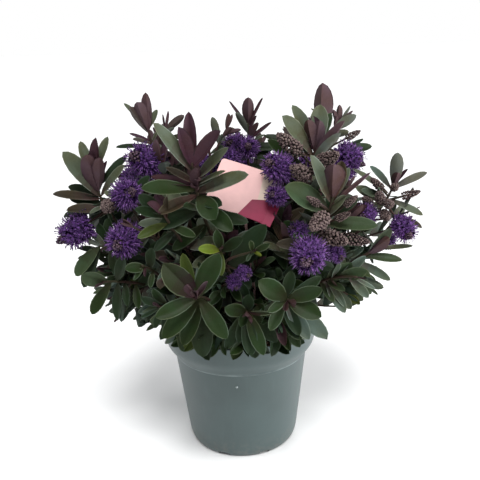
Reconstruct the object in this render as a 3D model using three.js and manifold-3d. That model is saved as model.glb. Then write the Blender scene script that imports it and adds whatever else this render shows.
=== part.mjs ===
// A flowering hebe in its nursery pot: a low evergreen shrub with paired leaves, maroon shoot tips and violet spikes.
// Units are millimetres, +Z is up, and the origin is the middle of the pot's flat underside.
//
// The pot is filled with potting mix. A short woody foot stands on the mix, boughs fan out from it, and each bough
// carries one mass of leafy shoots. Leaves stand in opposite pairs, each pair a quarter turn from the last.
import * as THREE from "three";
import { mergeVertices } from "three/addons/utils/BufferGeometryUtils.js";
import Module from "manifold-3d";

const wasm = await Module();
wasm.setup();

// ---- Driving dimensions ------------------------------------------------------------------------------------------

const GAP = 0.3; // clearance between neighbouring solids

// The pot's wall rises from a rounded heel, flares at the shoulder and ends in a wide band under the rim.
const POT = {
  height: 112,
  rimRadius: 66.6,
  bandFoot: 94.5, // height of the band's lower edge
  bandRadius: 65.1,
  shoulderFoot: 84.4,
  shoulderRadius: 57.9, // where the wall starts to flare
  heelTop: 11.3,
  heelRadius: 48.8,
  heelBulge: 47.4, // radius of the corner that the heel rounds off
  baseRadius: 42.7, // of the flat underside
  wall: 1.4,
  floor: 2,
  facets: 28,
  drains: 8, // notches cut through the heel
  drainWidth: 9,
  drainHeight: 3.5,
  drainDepth: 12,
};
const MIX = { level: 98, baseRadius: 44.7 }; // the potting mix: height of its top, and radius of its underside

// The foot flares at the mix, narrows to its neck, and tapers on to its top. FlareAt and neckAt are shares of its height.
const FOOT = {
  height: 34,
  flareRadius: 13,
  footRadius: 10.1,
  flareAt: 0.16,
  neckRadius: 8.8,
  neckAt: 0.4,
  topRadius: 7.4,
  facets: 10,
};

// The line from foot to shoot tip runs in straight steps. The first of them are the bough, the rest the leafy shoot.
const BOUGH = { baseRadius: 2.2, tipRadius: 1.7, sides: 4, steps: 4 };
const TWIG = { baseRadius: 1.5, tipRadius: 0.9, sides: 3, steps: 5, sideSteps: 2 };
const BOUGH_SHARE = BOUGH.steps / (BOUGH.steps + TWIG.steps);

// A leaf is an obovate blade with a blunt tip and a keeled back, and its root is sunk in the twig.
// Widths and places along it are shares of its length.
// Bare is the part nearest the twig, which may lie against other leaves of its mass.
const LEAF = { length: 35, width: 0.45, fullAt: 0.5, tipWidth: 0.17, keel: 0.05, keelAt: 0.55, bare: 0.2 };

// Leaf pairs are counted from the tip of a shoot down. Each entry: distance below the tip, angle from the
// shoot's line in degrees, and length as a share of a full leaf.
const PAIRS = [
  { below: 4, angle: 13, size: 0.68 },
  { below: 9, angle: 29, size: 0.86 },
  { below: 15, angle: 46, size: 0.98 },
  { below: 22, angle: 60, size: 1.0 },
  { below: 31, angle: 71, size: 1.0 },
  { below: 41, angle: 80, size: 0.95 },
];
const LEADER_PAIRS = 5;
const SHORTER = [1, 0.8, 0.64]; // a leaf that lacks room is tried shorter, then left out

// Side shoots leave the leading shoot below its rosette and bend back towards its line. Lift is that bend, leaf the
// size of their leaves, and bareShare their length without leaves.
const SIDE = { pairs: 3, length: 38, angle: 50, firstBelow: 42, spacing: 12, lift: 0.4, leaf: 0.92, bareShare: 0.1 };

// How far shoots and leaves stray from the rule: turns in radians, the rest as shares.
const VARY = { pairTurn: 0.4, angle: 0.2, size: 0.2, sideTurn: 0.8, sideLength: 0.3, droop: 0.16, lift: 0.05 };

// A flower spike is a knobbly spindle that widens from its stalk: broad and open, or slim and still in bud.
// Each ring is a share of the length and a share of the radius. Below is how far under the shoot's tip it leaves.
const SPIKE = {
  open: { length: 50, radius: 15, rings: [[0.36, 0.66], [0.56, 1], [0.78, 0.85], [0.93, 0.42]], facets: 6 },
  bud: { length: 38, radius: 9, rings: [[0.44, 0.8], [0.66, 1], [0.86, 0.66]], facets: 5 },
  valley: 0.76, // radius between two knobs, as a share of the radius at a knob
  below: 27,
  belowStep: 5,
};

// The shoots that make the crown, by where the foot of each one's top rosette lies: bearing in degrees from +X
// round +Z, reach from the pot's axis, and height over the pot's underside. Climb is the shoot's angle above the
// horizon. Sides is how many side shoots it bears. Open and bud list its flower spikes by bearing and climb.
const LEADERS = {
  left_crest: { bearing: 185, reach: 107, height: 224, climb: 84, sides: 2, open: [[215, -22], [322, 26]], bud: [[292, 16]] },
  left_inner: { bearing: 196, reach: 84, height: 212, climb: 70, sides: 1, open: [[262, -4]], bud: [] },
  top_left: { bearing: 163, reach: 74, height: 264, climb: 85, sides: 2, open: [[275, 6]], bud: [[245, 38]] },
  front_crest: { bearing: 250, reach: 84, height: 248, climb: 84, sides: 1, leaf: 1.18, open: [], bud: [] },
  back_crest: { bearing: 76, reach: 52, height: 258, climb: 88, sides: 2, open: [[245, 18], [300, 24]], bud: [] },
  crown_heart: { bearing: 140, reach: 26, height: 238, climb: 86, sides: 1, open: [[20, 30]], bud: [] },
  top_right: { bearing: 15, reach: 76, height: 265, climb: 82, sides: 1, open: [[326, -12]], bud: [[197, 16], [344, 20], [15, 50]] },
  right_inner: { bearing: 342, reach: 62, height: 244, climb: 80, sides: 1, open: [[139, 20], [173, -8]], bud: [[250, 25]] },
  right_front: { bearing: 315, reach: 98, height: 224, climb: 76, sides: 1, leaf: 1.1, open: [[248, -16]], bud: [[262, 12], [308, -28], [28, 30]] },
  far_right: { bearing: 0, reach: 128, height: 220, climb: 80, sides: 1, open: [[292, -22], [242, 8]], bud: [[10, 14]] },
  right_low: { bearing: 345, reach: 102, height: 182, climb: 30, sides: 2, open: [[20, 20]], bud: [] },
  right_skirt: { bearing: 320, reach: 94, height: 170, climb: 6, sides: 2, open: [], bud: [] },
  front_right_skirt: { bearing: 290, reach: 98, height: 168, climb: 8, sides: 2, leaf: 1.1, open: [], bud: [] },
  front_skirt: { bearing: 268, reach: 84, height: 158, climb: 4, sides: 2, open: [], bud: [] },
  front_left_skirt: { bearing: 252, reach: 100, height: 171, climb: 14, sides: 2, leaf: 1.18, open: [], bud: [] },
  left_front_skirt: { bearing: 231, reach: 98, height: 186, climb: 24, sides: 2, open: [], bud: [] },
  low_left_skirt: { bearing: 236, reach: 82, height: 158, climb: 0, sides: 1, open: [], bud: [] },
  left_skirt: { bearing: 212, reach: 98, height: 177, climb: 8, sides: 2, open: [], bud: [] },
  left_side: { bearing: 190, reach: 98, height: 182, climb: 16, sides: 2, open: [], bud: [] },
  front_middle: { bearing: 268, reach: 84, height: 198, climb: 44, sides: 2, leaf: 0.85, open: [[272, -14]], bud: [[298, 6]] },
  left_front: { bearing: 238, reach: 92, height: 222, climb: 52, sides: 2, open: [], bud: [] },
  back_right_skirt: { bearing: 22, reach: 100, height: 170, climb: 14, sides: 1, open: [[40, 30]], bud: [] },
  back_skirt_right: { bearing: 60, reach: 100, height: 166, climb: 10, sides: 1, open: [], bud: [] },
  back_skirt_left: { bearing: 100, reach: 100, height: 164, climb: 10, sides: 1, open: [[80, 20]], bud: [] },
  back_left_skirt: { bearing: 145, reach: 100, height: 170, climb: 14, sides: 1, open: [], bud: [] },
  back_right: { bearing: 42, reach: 98, height: 224, climb: 60, sides: 2, open: [[20, 10], [90, 15]], bud: [[60, 30]] },
  back_middle: { bearing: 92, reach: 92, height: 222, climb: 58, sides: 2, open: [[70, 5], [140, 20]], bud: [[100, 20]] },
  back_left: { bearing: 132, reach: 98, height: 226, climb: 60, sides: 2, open: [[110, 8], [175, 10]], bud: [[140, 30]] },
};

const LABEL = {
  width: 47,
  height: 41,
  thickness: 0.9,
  centre: [5, -44, 235],
  lean: 38, // degrees back from upright
  turn: -22, // degrees within its own face
  stakeWidth: 5,
  stakeThickness: 1.3,
  stakeFoot: [17.5, -46],
};

const COLOUR = {
  pot: 0x6f8684,
  mix: 0x2c211a,
  bark: 0x6b5340,
  label: 0xe9c3bd,
  foliage: 0x3d5531,
};

// ---- Small helpers -----------------------------------------------------------------------------------------------

const UP = new THREE.Vector3(0, 0, 1);
const radians = THREE.MathUtils.degToRad;

// A seeded stream of numbers, the same on every run.
function stream(seed) {
  let state = seed >>> 0;
  return () => {
    state = (Math.imul(state, 1664525) + 1013904223) >>> 0;
    return state / 4294967296;
  };
}

// A share near one, spread over the given width.
function near(width, random) {
  return 1 + width * (random() - 0.5);
}

function polar(bearing, reach, height) {
  return new THREE.Vector3(reach * Math.cos(radians(bearing)), reach * Math.sin(radians(bearing)), height);
}

// A closed three.js geometry as a manifold-3d solid.
function solid(geometry) {
  const bare = geometry.clone().deleteAttribute("uv").deleteAttribute("normal");
  const merged = mergeVertices(bare, 1e-4);
  const corners = [];
  const index = merged.index.array;
  for (let i = 0; i < index.length; i += 3) {
    const [a, b, c] = [index[i], index[i + 1], index[i + 2]];
    if (a !== b && b !== c && c !== a) corners.push(a, b, c);
  }
  return new wasm.Manifold(
    new wasm.Mesh({ numProp: 3, vertProperties: merged.attributes.position.array, triVerts: new Uint32Array(corners) }),
  );
}

function geometryOf(shape) {
  const mesh = shape.getMesh();
  const stride = mesh.numProp;
  const positions = new Float32Array(mesh.numVert * 3);
  for (let i = 0; i < mesh.numVert; i++) positions.set(mesh.vertProperties.subarray(i * stride, i * stride + 3), i * 3);
  const geometry = new THREE.BufferGeometry();
  geometry.setAttribute("position", new THREE.BufferAttribute(positions, 3));
  geometry.setIndex(new THREE.BufferAttribute(mesh.triVerts, 1));
  geometry.computeVertexNormals();
  return geometry;
}

// Builds a solid from plain points and faces.
function solidOf(points, faces) {
  return new wasm.Manifold(
    new wasm.Mesh({
      numProp: 3,
      vertProperties: new Float32Array(points.flatMap((p) => [p.x, p.y, p.z])),
      triVerts: new Uint32Array(faces.flat()),
    }),
  );
}

// A curve taken in equal straight steps, so that what grows from it starts on the solid limb's own axis.
class Steps extends THREE.Curve {
  constructor(curve, count) {
    super();
    this.points = curve.getSpacedPoints(count);
  }

  getPoint(t) {
    const place = t * (this.points.length - 1);
    const step = Math.min(Math.floor(place), this.points.length - 2);
    return this.points[step].clone().lerp(this.points[step + 1], place - step);
  }
}

// Two directions square to a line and to each other, the first as near as can be to the one given.
function framed(across, along) {
  const first = across.clone().addScaledVector(along, -across.dot(along)).normalize();
  return [first, new THREE.Vector3().crossVectors(along, first)];
}

function anyAcross(along) {
  return Math.abs(along.z) < 0.7 ? UP : new THREE.Vector3(1, 0, 0);
}

// A direction that leaves a line at an angle, at a turn round it from the given side.
function leaving(along, side, turn, angle) {
  const [across, over] = framed(side, along);
  const radial = across.multiplyScalar(Math.cos(turn)).addScaledVector(over, Math.sin(turn));
  return {
    direction: along.clone().multiplyScalar(Math.cos(angle)).addScaledVector(radial, Math.sin(angle)),
    inward: along.clone().multiplyScalar(Math.sin(angle)).addScaledVector(radial, -Math.cos(angle)),
  };
}

// A tapering limb with flat ends: rings of corners carried along a curve between two shares of its length.
function limb(curve, from, to, size, sides, steps) {
  const points = [];
  const faces = [];
  let [across, over] = [anyAcross(curve.getTangentAt(from)), null];
  for (let i = 0; i <= steps; i++) {
    const share = i / steps;
    const u = from + (to - from) * share;
    [across, over] = framed(across, curve.getTangentAt(u));
    const radius = THREE.MathUtils.lerp(size.baseRadius, size.tipRadius, share);
    for (let k = 0; k < sides; k++) {
      const angle = (2 * Math.PI * k) / sides;
      points.push(
        curve
          .getPointAt(u)
          .addScaledVector(across, radius * Math.cos(angle))
          .addScaledVector(over, radius * Math.sin(angle)),
      );
      if (i < steps) {
        const [a, b] = [i * sides + k, i * sides + ((k + 1) % sides)];
        faces.push([a, b, b + sides], [a, b + sides, a + sides]);
      }
    }
  }
  const last = steps * sides;
  for (let k = 1; k < sides - 1; k++) faces.push([0, k + 1, k], [last, last + k, last + k + 1]);
  return solidOf(points, faces);
}

// ---- Pot, potting mix and foot -----------------------------------------------------------------------------------

function lathe(profile, facets) {
  const outline = profile.map(([r, z]) => new THREE.Vector2(r, z));
  return solid(new THREE.LatheGeometry(outline, facets).rotateX(Math.PI / 2));
}

// The rounded heel, from the edge of the flat floor at the given height up to the wall, drawn in by the given depth.
function heelLine(depth, height, steps) {
  return new THREE.QuadraticBezierCurve(
    new THREE.Vector2(POT.baseRadius, height),
    new THREE.Vector2(POT.heelBulge - depth, height),
    new THREE.Vector2(POT.heelRadius - depth, POT.heelTop),
  )
    .getPoints(steps)
    .map(({ x, y }) => [x, y]);
}

// The pot's wall line from shoulder to rim, drawn in by the given depth.
function wallLine(depth) {
  return [
    [POT.shoulderRadius - depth, POT.shoulderFoot],
    [POT.bandRadius - depth, POT.bandFoot],
    [POT.rimRadius - depth, POT.height],
  ];
}

function makePot() {
  const outside = [[0, 0], ...heelLine(0, 0, 3), ...wallLine(0)];
  const inside = [[0, POT.floor], ...heelLine(POT.wall, POT.floor, 2), ...wallLine(POT.wall)];
  const shell = lathe([...outside, ...inside.reverse()], POT.facets);
  const notch = new THREE.BoxGeometry(POT.drainDepth, POT.drainWidth, POT.drainHeight * 2);
  const notches = Array.from({ length: POT.drains }, (_, i) => {
    const turn = (2 * Math.PI * (i + 0.5)) / POT.drains;
    return solid(notch.clone().translate(POT.heelBulge, 0, 0).rotateZ(turn));
  });
  return shell.subtract(wasm.Manifold.union(notches));
}

function makeMix() {
  const inside = POT.wall + GAP;
  const [shoulder, band] = wallLine(inside);
  const bottom = POT.floor + POT.drainHeight;
  return lathe(
    [
      [0, bottom],
      [MIX.baseRadius, bottom],
      [POT.heelRadius - inside, POT.heelTop],
      shoulder,
      band,
      [band[0], MIX.level],
      [0, MIX.level],
    ],
    POT.facets,
  );
}

function footProfile(extra) {
  const ground = MIX.level + GAP;
  return [
    [0, ground - extra],
    [FOOT.flareRadius + extra, ground - extra],
    [FOOT.footRadius + extra, ground + FOOT.height * FOOT.flareAt],
    [FOOT.neckRadius + extra, ground + FOOT.height * FOOT.neckAt],
    [FOOT.topRadius + extra, ground + FOOT.height + extra],
    [0, ground + FOOT.height + extra],
  ];
}

// ---- Boughs ------------------------------------------------------------------------------------------------------

// Boughs leave the foot in tiers by the height of their shoots, evenly spaced round it in the order of their
// bearings. At is the place up the foot, out the start's distance from the axis, climb its angle above the horizon.
// In a tier with a stagger, every second bough starts higher by that share of the foot.
const TIERS = [
  { under: 190, at: 0.22, stagger: 0.19, out: 0, climb: 12 },
  { under: 236, at: 0.66, stagger: 0, out: 0, climb: 34 },
  { under: Infinity, at: 0.94, stagger: 0, out: 5, climb: 58 },
];
const LINE = { startPull: 0.42, tipPull: 0.36 }; // how far each end's direction carries, as shares of the span

// One smooth line from inside the foot, through the bough, to the tip of the shoot.
function shootLine(leader, tier, rise, startBearing) {
  const start = polar(startBearing, tier.out, MIX.level + FOOT.height * (tier.at + rise));
  const away = polar(startBearing, Math.cos(radians(tier.climb)), Math.sin(radians(tier.climb)));
  const direction = polar(leader.bearing, Math.cos(radians(leader.climb)), Math.sin(radians(leader.climb)));
  const tip = polar(leader.bearing, leader.reach, leader.height).addScaledVector(direction, PAIRS[3].below);
  const span = tip.distanceTo(start);
  const bend = new THREE.CubicBezierCurve3(
    start,
    start.clone().addScaledVector(away, span * LINE.startPull),
    tip.clone().addScaledVector(direction, -span * LINE.tipPull),
    tip,
  );
  return new Steps(bend, BOUGH.steps + TWIG.steps);
}

function layOutLines() {
  const lines = {};
  let lower = 0;
  for (const tier of TIERS) {
    const names = Object.keys(LEADERS)
      .filter((name) => LEADERS[name].height >= lower && LEADERS[name].height < tier.under)
      .sort((a, b) => LEADERS[a].bearing - LEADERS[b].bearing);
    const step = 360 / names.length;
    const offset = names.reduce((sum, name, i) => sum + LEADERS[name].bearing - i * step, 0) / names.length;
    names.forEach((name, i) => {
      lines[name] = shootLine(LEADERS[name], tier, (i % 2) * tier.stagger, offset + i * step);
    });
    lower = tier.under;
  }
  return lines;
}

// ---- Leaves, twigs and flower spikes -----------------------------------------------------------------------------

// A leaf as a closed blade of eight faces. Inward is the way its upper side faces, and bow lifts or drops the tip.
// Grow makes the blade larger all round, for testing the room about it. From starts it part-way along.
function leafBlade({ root, direction, inward, size, bow }, grow = 0, from = 0) {
  const side = new THREE.Vector3().crossVectors(inward, direction);
  const at = (share, across, lift) =>
    root
      .clone()
      .addScaledVector(direction, size * share)
      .addScaledVector(side, across)
      .addScaledVector(inward, lift + bow * size * share * share);
  const [half, tip] = [(LEAF.width / 2) * size + grow, (LEAF.tipWidth / 2) * size + grow];
  const end = 1 + grow / size;
  return solidOf(
    [
      at(from, 0, grow),
      at(LEAF.fullAt, half, grow),
      at(LEAF.fullAt, -half, grow),
      at(end, tip, grow),
      at(end, -tip, grow),
      at(LEAF.keelAt, 0, -LEAF.keel * size - grow),
    ],
    [
      [0, 2, 1],
      [1, 2, 4],
      [1, 4, 3],
      [0, 1, 5],
      [1, 3, 5],
      [3, 4, 5],
      [4, 2, 5],
      [2, 0, 5],
    ],
  );
}

// A flower spike: a spindle whose rings of corners stand in and out by turns, like florets.
function spikeSolid({ root, direction, kind }, grow = 0) {
  const { length, radius, rings, facets } = kind;
  const [across, over] = framed(anyAcross(direction), direction);
  const end = root.clone().addScaledVector(direction, length + grow);
  const points = [root, end];
  const faces = [];
  const corner = (ring, k) => 2 + ring * facets + (k % facets);
  rings.forEach(([share, wide], ring) => {
    for (let k = 0; k < facets; k++) {
      const angle = (2 * Math.PI * k) / facets;
      const out = radius * wide * ((ring + k) % 2 ? 1 : SPIKE.valley) + grow;
      points.push(
        root
          .clone()
          .lerp(end, share)
          .addScaledVector(across, out * Math.cos(angle))
          .addScaledVector(over, out * Math.sin(angle)),
      );
      const [a, b] = [corner(ring, k), corner(ring, k + 1)];
      if (ring === 0) faces.push([0, b, a]);
      if (ring === rings.length - 1) faces.push([1, a, b]);
      else faces.push([a, b, b + facets], [a, b + facets, a + facets]);
    }
  });
  return solidOf(points, faces);
}

// The leaves of one shoot, as plans: opposite pairs from its tip down, each a quarter turn on from the last.
function leafPairs(curve, start, count, full, firstTurn, random) {
  const length = curve.getLength();
  const leaves = [];
  let side = anyAcross(curve.getTangentAt(1));
  for (let k = 0; k < count; k++) {
    const { below, angle, size } = PAIRS[k];
    const u = Math.max(start, 1 - below / length);
    const along = curve.getTangentAt(u);
    [side] = framed(side, along);
    const turn = firstTurn + (k * Math.PI) / 2 + (random() - 0.5) * VARY.pairTurn;
    for (const half of [0, Math.PI]) {
      leaves.push({
        root: curve.getPointAt(u),
        ...leaving(along, side, turn + half, radians(angle) * near(VARY.angle, random)),
        size: full * size * near(VARY.size, random),
        bow: VARY.lift - VARY.droop * random() * Math.min(1, k / 2),
      });
    }
  }
  return leaves;
}

// The twigs, leaves and spikes of one mass, as plans.
function planMass(name, leader, line) {
  const random = stream([...name].reduce((sum, letter) => (sum * 31 + letter.charCodeAt(0)) >>> 0, 7));
  const full = LEAF.length * (leader.leaf ?? 1);
  const length = line.getLength();
  const start = BOUGH_SHARE + GAP / length;
  const lowest = start + (2 * TWIG.baseRadius) / length;
  const outward = polar(leader.bearing, 1, 0);
  const below = (distance) => Math.max(lowest, 1 - distance / length);
  const leading = leafPairs(line, lowest, LEADER_PAIRS, full, random() * Math.PI, random);
  const twigs = [{ curve: line, from: start, leaves: leading }];

  const sideTurn = random() * Math.PI;
  for (let i = 0; i < leader.sides; i++) {
    const u = below(SIDE.firstBelow + SIDE.spacing * i);
    const along = line.getTangentAt(u);
    const turn = sideTurn + Math.PI * i + (random() - 0.5) * VARY.sideTurn;
    const { direction } = leaving(along, outward, turn, radians(SIDE.angle));
    const root = line.getPointAt(u);
    const reach = SIDE.length * near(VARY.sideLength, random);
    const bend = new THREE.QuadraticBezierCurve3(
      root,
      root.clone().addScaledVector(direction, reach / 2),
      root.clone().addScaledVector(direction, reach).addScaledVector(along, reach * SIDE.lift),
    );
    const curve = new Steps(bend, TWIG.sideSteps);
    twigs.push({ curve, from: 0, leaves: leafPairs(curve, SIDE.bareShare, SIDE.pairs, full * SIDE.leaf, turn, random) });
  }

  const heads = [...leader.open.map((way) => [SPIKE.open, way]), ...leader.bud.map((way) => [SPIKE.bud, way])];
  const spikes = heads.map(([kind, [bearing, climb]], i) => ({
    root: line.getPointAt(below(SPIKE.below + SPIKE.belowStep * i)),
    direction: polar(bearing, Math.cos(radians(climb)), Math.sin(radians(climb))),
    kind,
  }));
  return { twigs, spikes };
}

// ---- Label -------------------------------------------------------------------------------------------------------

// A plain card on a stake that stands on the potting mix and ends inside the card.
function makeLabel() {
  const card = new THREE.BoxGeometry(LABEL.width, LABEL.thickness, LABEL.height)
    .rotateY(radians(-LABEL.turn))
    .rotateX(radians(-LABEL.lean))
    .translate(...LABEL.centre);
  const head = new THREE.Vector3(...LABEL.centre);
  const foot = new THREE.Vector3(...LABEL.stakeFoot, MIX.level + GAP);
  const stake = new THREE.BoxGeometry(LABEL.stakeWidth, LABEL.stakeThickness, 1);
  const position = stake.attributes.position;
  for (let i = 0; i < position.count; i++) {
    const end = position.getZ(i) > 0 ? head : foot;
    position.setXYZ(i, position.getX(i) + end.x, position.getY(i) + end.y, end.z);
  }
  return solid(card).add(solid(stake));
}

// ---- Assembly ----------------------------------------------------------------------------------------------------

function boxesMeet(a, b) {
  return [0, 1, 2].every((i) => a.min[i] < b.max[i] && b.min[i] < a.max[i]);
}

// True if a solid shares any space with one of the others.
function touches(shape, others) {
  const box = shape.boundingBox();
  return others.some((other) => boxesMeet(box, other.box) && shape.intersect(other.shape).volume() > 0);
}

function withBox(shape) {
  return { shape, box: shape.boundingBox() };
}

function assemble() {
  const lines = layOutLines();
  const footRoom = lathe(footProfile(GAP), FOOT.facets);
  const nodes = [
    { name: "pot", shape: makePot(), colour: COLOUR.pot },
    { name: "potting_mix", shape: makeMix(), colour: COLOUR.mix },
    { name: "woody_foot", shape: lathe(footProfile(0), FOOT.facets), colour: COLOUR.bark },
    { name: "plant_label", shape: makeLabel(), colour: COLOUR.label },
  ];
  for (const [name, line] of Object.entries(lines)) {
    const shape = limb(line, 0, BOUGH_SHARE, BOUGH, BOUGH.sides, BOUGH.steps).subtract(footRoom);
    nodes.push({ name: `bough_${name}`, shape, colour: COLOUR.bark });
  }

  const fixed = nodes.map(({ shape }) => withBox(shape));
  const masses = Object.entries(LEADERS).map(([name, leader]) => ({
    name,
    ...planMass(name, leader, lines[name]),
    wood: [],
    blades: [],
  }));
  const roomFor = (mass, shape) =>
    !touches(shape, fixed) &&
    masses.every((other) => other === mass || !(touches(shape, other.wood) || touches(shape, other.blades)));

  // Every leading twig first, then side twigs, spikes, and leaves pair by pair, so that the masses share the room
  // between them evenly. A piece that would touch a limb or another mass is left out.
  const thicker = { baseRadius: TWIG.baseRadius + GAP, tipRadius: TWIG.tipRadius + GAP };
  for (const mass of masses) {
    const [{ curve, from }] = mass.twigs;
    mass.wood.push(withBox(limb(curve, from, 1, TWIG, TWIG.sides, TWIG.steps)));
  }
  for (const mass of masses) {
    const [leading, ...sides] = mass.twigs;
    const kept = sides.filter(({ curve }) => roomFor(mass, limb(curve, 0, 1, thicker, TWIG.sides, TWIG.sideSteps)));
    kept.forEach(({ curve }) => mass.wood.push(withBox(limb(curve, 0, 1, TWIG, TWIG.sides, TWIG.sideSteps))));
    mass.twigs = [leading, ...kept];
  }
  for (const mass of masses) {
    for (const spike of mass.spikes) {
      if (roomFor(mass, spikeSolid(spike, GAP))) mass.blades.push(withBox(spikeSolid(spike)));
    }
  }
  for (let i = 0; i < 2 * LEADER_PAIRS; i++) {
    for (const mass of masses) {
      for (const { leaves } of mass.twigs) {
        for (const shorter of SHORTER) {
          if (!leaves[i]) break;
          const leaf = { ...leaves[i], size: leaves[i].size * shorter };
          const outer = leafBlade(leaf, 0, LEAF.bare);
          if (!roomFor(mass, leafBlade(leaf, GAP)) || touches(outer, mass.blades) || touches(outer, mass.wood)) continue;
          mass.blades.push(withBox(leafBlade(leaf)));
          break;
        }
      }
    }
  }
  for (const { name, wood, blades } of masses) {
    const shape = wasm.Manifold.union([...wood, ...blades].map((piece) => piece.shape));
    nodes.push({ name: `shoots_${name}`, shape, colour: COLOUR.foliage });
  }
  return nodes;
}

const plant = new THREE.Group();
for (const { name, shape, colour } of assemble()) {
  const material = new THREE.MeshStandardMaterial({ color: colour, roughness: 0.7, metalness: 0 });
  const mesh = new THREE.Mesh(geometryOf(shape), material);
  mesh.name = name;
  plant.add(mesh);
}
export default plant;
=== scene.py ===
"""A flowering hebe in its nursery pot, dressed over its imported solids.

Lengths are in metres unless a name or comment says otherwise, +Z is up, and the origin is the middle of the pot's
underside.
"""

from math import cos, pi, radians, sin

import bpy
import numpy as np
from mathutils import Matrix, Vector

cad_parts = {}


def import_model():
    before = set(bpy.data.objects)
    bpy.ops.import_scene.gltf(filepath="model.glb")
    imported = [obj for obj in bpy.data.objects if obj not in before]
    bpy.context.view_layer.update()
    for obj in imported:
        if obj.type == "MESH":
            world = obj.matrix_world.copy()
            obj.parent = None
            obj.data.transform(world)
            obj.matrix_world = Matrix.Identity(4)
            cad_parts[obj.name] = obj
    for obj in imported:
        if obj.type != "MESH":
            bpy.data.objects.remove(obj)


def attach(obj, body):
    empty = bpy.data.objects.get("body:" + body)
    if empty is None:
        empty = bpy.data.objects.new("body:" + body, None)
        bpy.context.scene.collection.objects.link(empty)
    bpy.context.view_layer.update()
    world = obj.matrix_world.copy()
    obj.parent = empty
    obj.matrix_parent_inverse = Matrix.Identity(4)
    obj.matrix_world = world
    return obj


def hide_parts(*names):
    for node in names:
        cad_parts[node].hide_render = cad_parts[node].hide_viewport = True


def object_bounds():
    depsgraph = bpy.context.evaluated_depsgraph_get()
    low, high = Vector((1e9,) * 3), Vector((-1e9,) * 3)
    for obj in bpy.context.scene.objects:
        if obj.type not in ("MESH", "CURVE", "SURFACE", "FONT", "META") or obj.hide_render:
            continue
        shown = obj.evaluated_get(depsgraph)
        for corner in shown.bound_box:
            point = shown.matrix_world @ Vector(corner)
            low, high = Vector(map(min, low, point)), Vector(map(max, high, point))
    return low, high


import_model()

cad_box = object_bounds()
MM = 0.001


# ---- Camera, floor and light ----
# The plant stands on a plain pale floor in soft light from above. Weaker lights on its right and behind it round it
# off. The camera looks down at it from in front.
class Reading:
    """A number that changes over a surface. Sums and products of readings add Math nodes to their paint."""

    def __init__(self, paint, socket):
        self.paint, self.socket = paint, socket

    def _maths(self, operation, *values):
        made = self.paint.node("ShaderNodeMath", {"operation": operation}, dict(enumerate(values)))
        return Reading(self.paint, made.outputs[0])

    def __add__(self, other):
        return self._maths("ADD", self, other)

    def __sub__(self, other):
        return self._maths("SUBTRACT", self, other)

    def __rsub__(self, other):
        return self._maths("SUBTRACT", other, self)

    def __mul__(self, other):
        return self._maths("MULTIPLY", self, other)

    __radd__, __rmul__ = __add__, __mul__

    def over(self, low, high):
        """How far the number is from low to high, kept between 0 and 1."""
        made = self.paint.node("ShaderNodeMapRange", {"clamp": True}, {0: self, 1: low, 2: high})
        return Reading(self.paint, made.outputs[0])


class Paint:
    """A material with one main shader. Its own settings are fixed numbers; readings vary colour, gloss and relief."""

    def __init__(self, name, roughness, gleam=0.5):
        self.material = bpy.data.materials.new(name)
        self.material.use_nodes = True
        self.tree = self.material.node_tree
        self.shader = self.tree.nodes["Principled BSDF"]
        self.feed("Roughness", roughness)
        self.feed("Specular IOR Level", gleam)
        self.place = self.node("ShaderNodeTexCoord").outputs["Object"]

    def node(self, kind, settings=(), sockets=()):
        made = self.tree.nodes.new(kind)
        for key, value in dict(settings).items():
            setattr(made, key, value)
        for key, value in dict(sockets).items():
            self._join(made.inputs[key], value)
        return made

    def _join(self, socket, value):
        value = value.socket if isinstance(value, Reading) else value
        if isinstance(value, bpy.types.NodeSocket):
            self.tree.links.new(value, socket)
        elif socket.type == "RGBA":
            socket.default_value = (*value, 1)
        else:
            socket.default_value = value

    def feed(self, key, value):
        self._join(self.shader.inputs[key], value)

    def grain(self, size, detail=3, stretch=(1, 1, 1)):
        """Cloudy variation about a half, with patches of roughly that size."""
        place = self.node("ShaderNodeMapping", {}, {"Vector": self.place, "Scale": stretch}).outputs[0]
        made = self.node("ShaderNodeTexNoise", {}, {"Vector": place, "Scale": 1 / size, "Detail": detail})
        return Reading(self, made.outputs[0])

    def height(self):
        """Metres above the floor."""
        return Reading(self, self.node("ShaderNodeSeparateXYZ", {}, {0: self.place}).outputs[2])

    def between(self, share, first, second):
        """A colour part-way from the first to the second."""
        return self.node("ShaderNodeMix", {"data_type": "RGBA"}, {0: share, 6: first, 7: second}).outputs[2]

    def coloured(self, share, first, second):
        self.feed("Base Color", self.between(share, first, second))

    def relief(self, height, depth):
        self.feed("Normal", self.node("ShaderNodeBump", {}, {"Height": height, "Distance": depth}).outputs[0])


def mottled(name, roughness, gleam, grain, spread, dark, light, depth=0):
    """A paint in patches of two colours, with relief of that depth if it has any."""
    paint = Paint(name, roughness, gleam)
    patch = paint.grain(*grain)
    paint.coloured(patch.over(*spread), dark, light)
    if depth:
        paint.relief(patch, depth)
    return paint


def new(add, name, **settings):
    """Adds one object with nothing else selected, and names it."""
    bpy.ops.object.select_all(action="DESELECT")
    add(**settings)
    bpy.context.object.name = name
    return bpy.context.object


SEEN_FROM = np.array([2.4, -535, 345]) * MM
LOOKS_DOWN, ROLL, SENSOR_MM, LENS_MM = 17, -1.9, 36, 49.5  # the first two in degrees
bpy.context.scene.view_settings.view_transform = "Standard"
camera = new(bpy.ops.object.camera_add, "camera")
camera.data.sensor_width, camera.data.lens = SENSOR_MM, LENS_MM
aim = Matrix.Rotation(radians(90 - LOOKS_DOWN), 4, "X") @ Matrix.Rotation(radians(ROLL), 4, "Z")
camera.matrix_world = Matrix.Translation(SEEN_FROM) @ aim
bpy.context.scene.camera = camera

floor = new(bpy.ops.mesh.primitive_plane_add, "floor", size=40)
pale = mottled("pale_floor", 0.9, 0.1, (0.4,), (0, 1), (0.93, 0.93, 0.93), (0.95, 0.95, 0.95))
floor.data.materials.append(pale.material)

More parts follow.
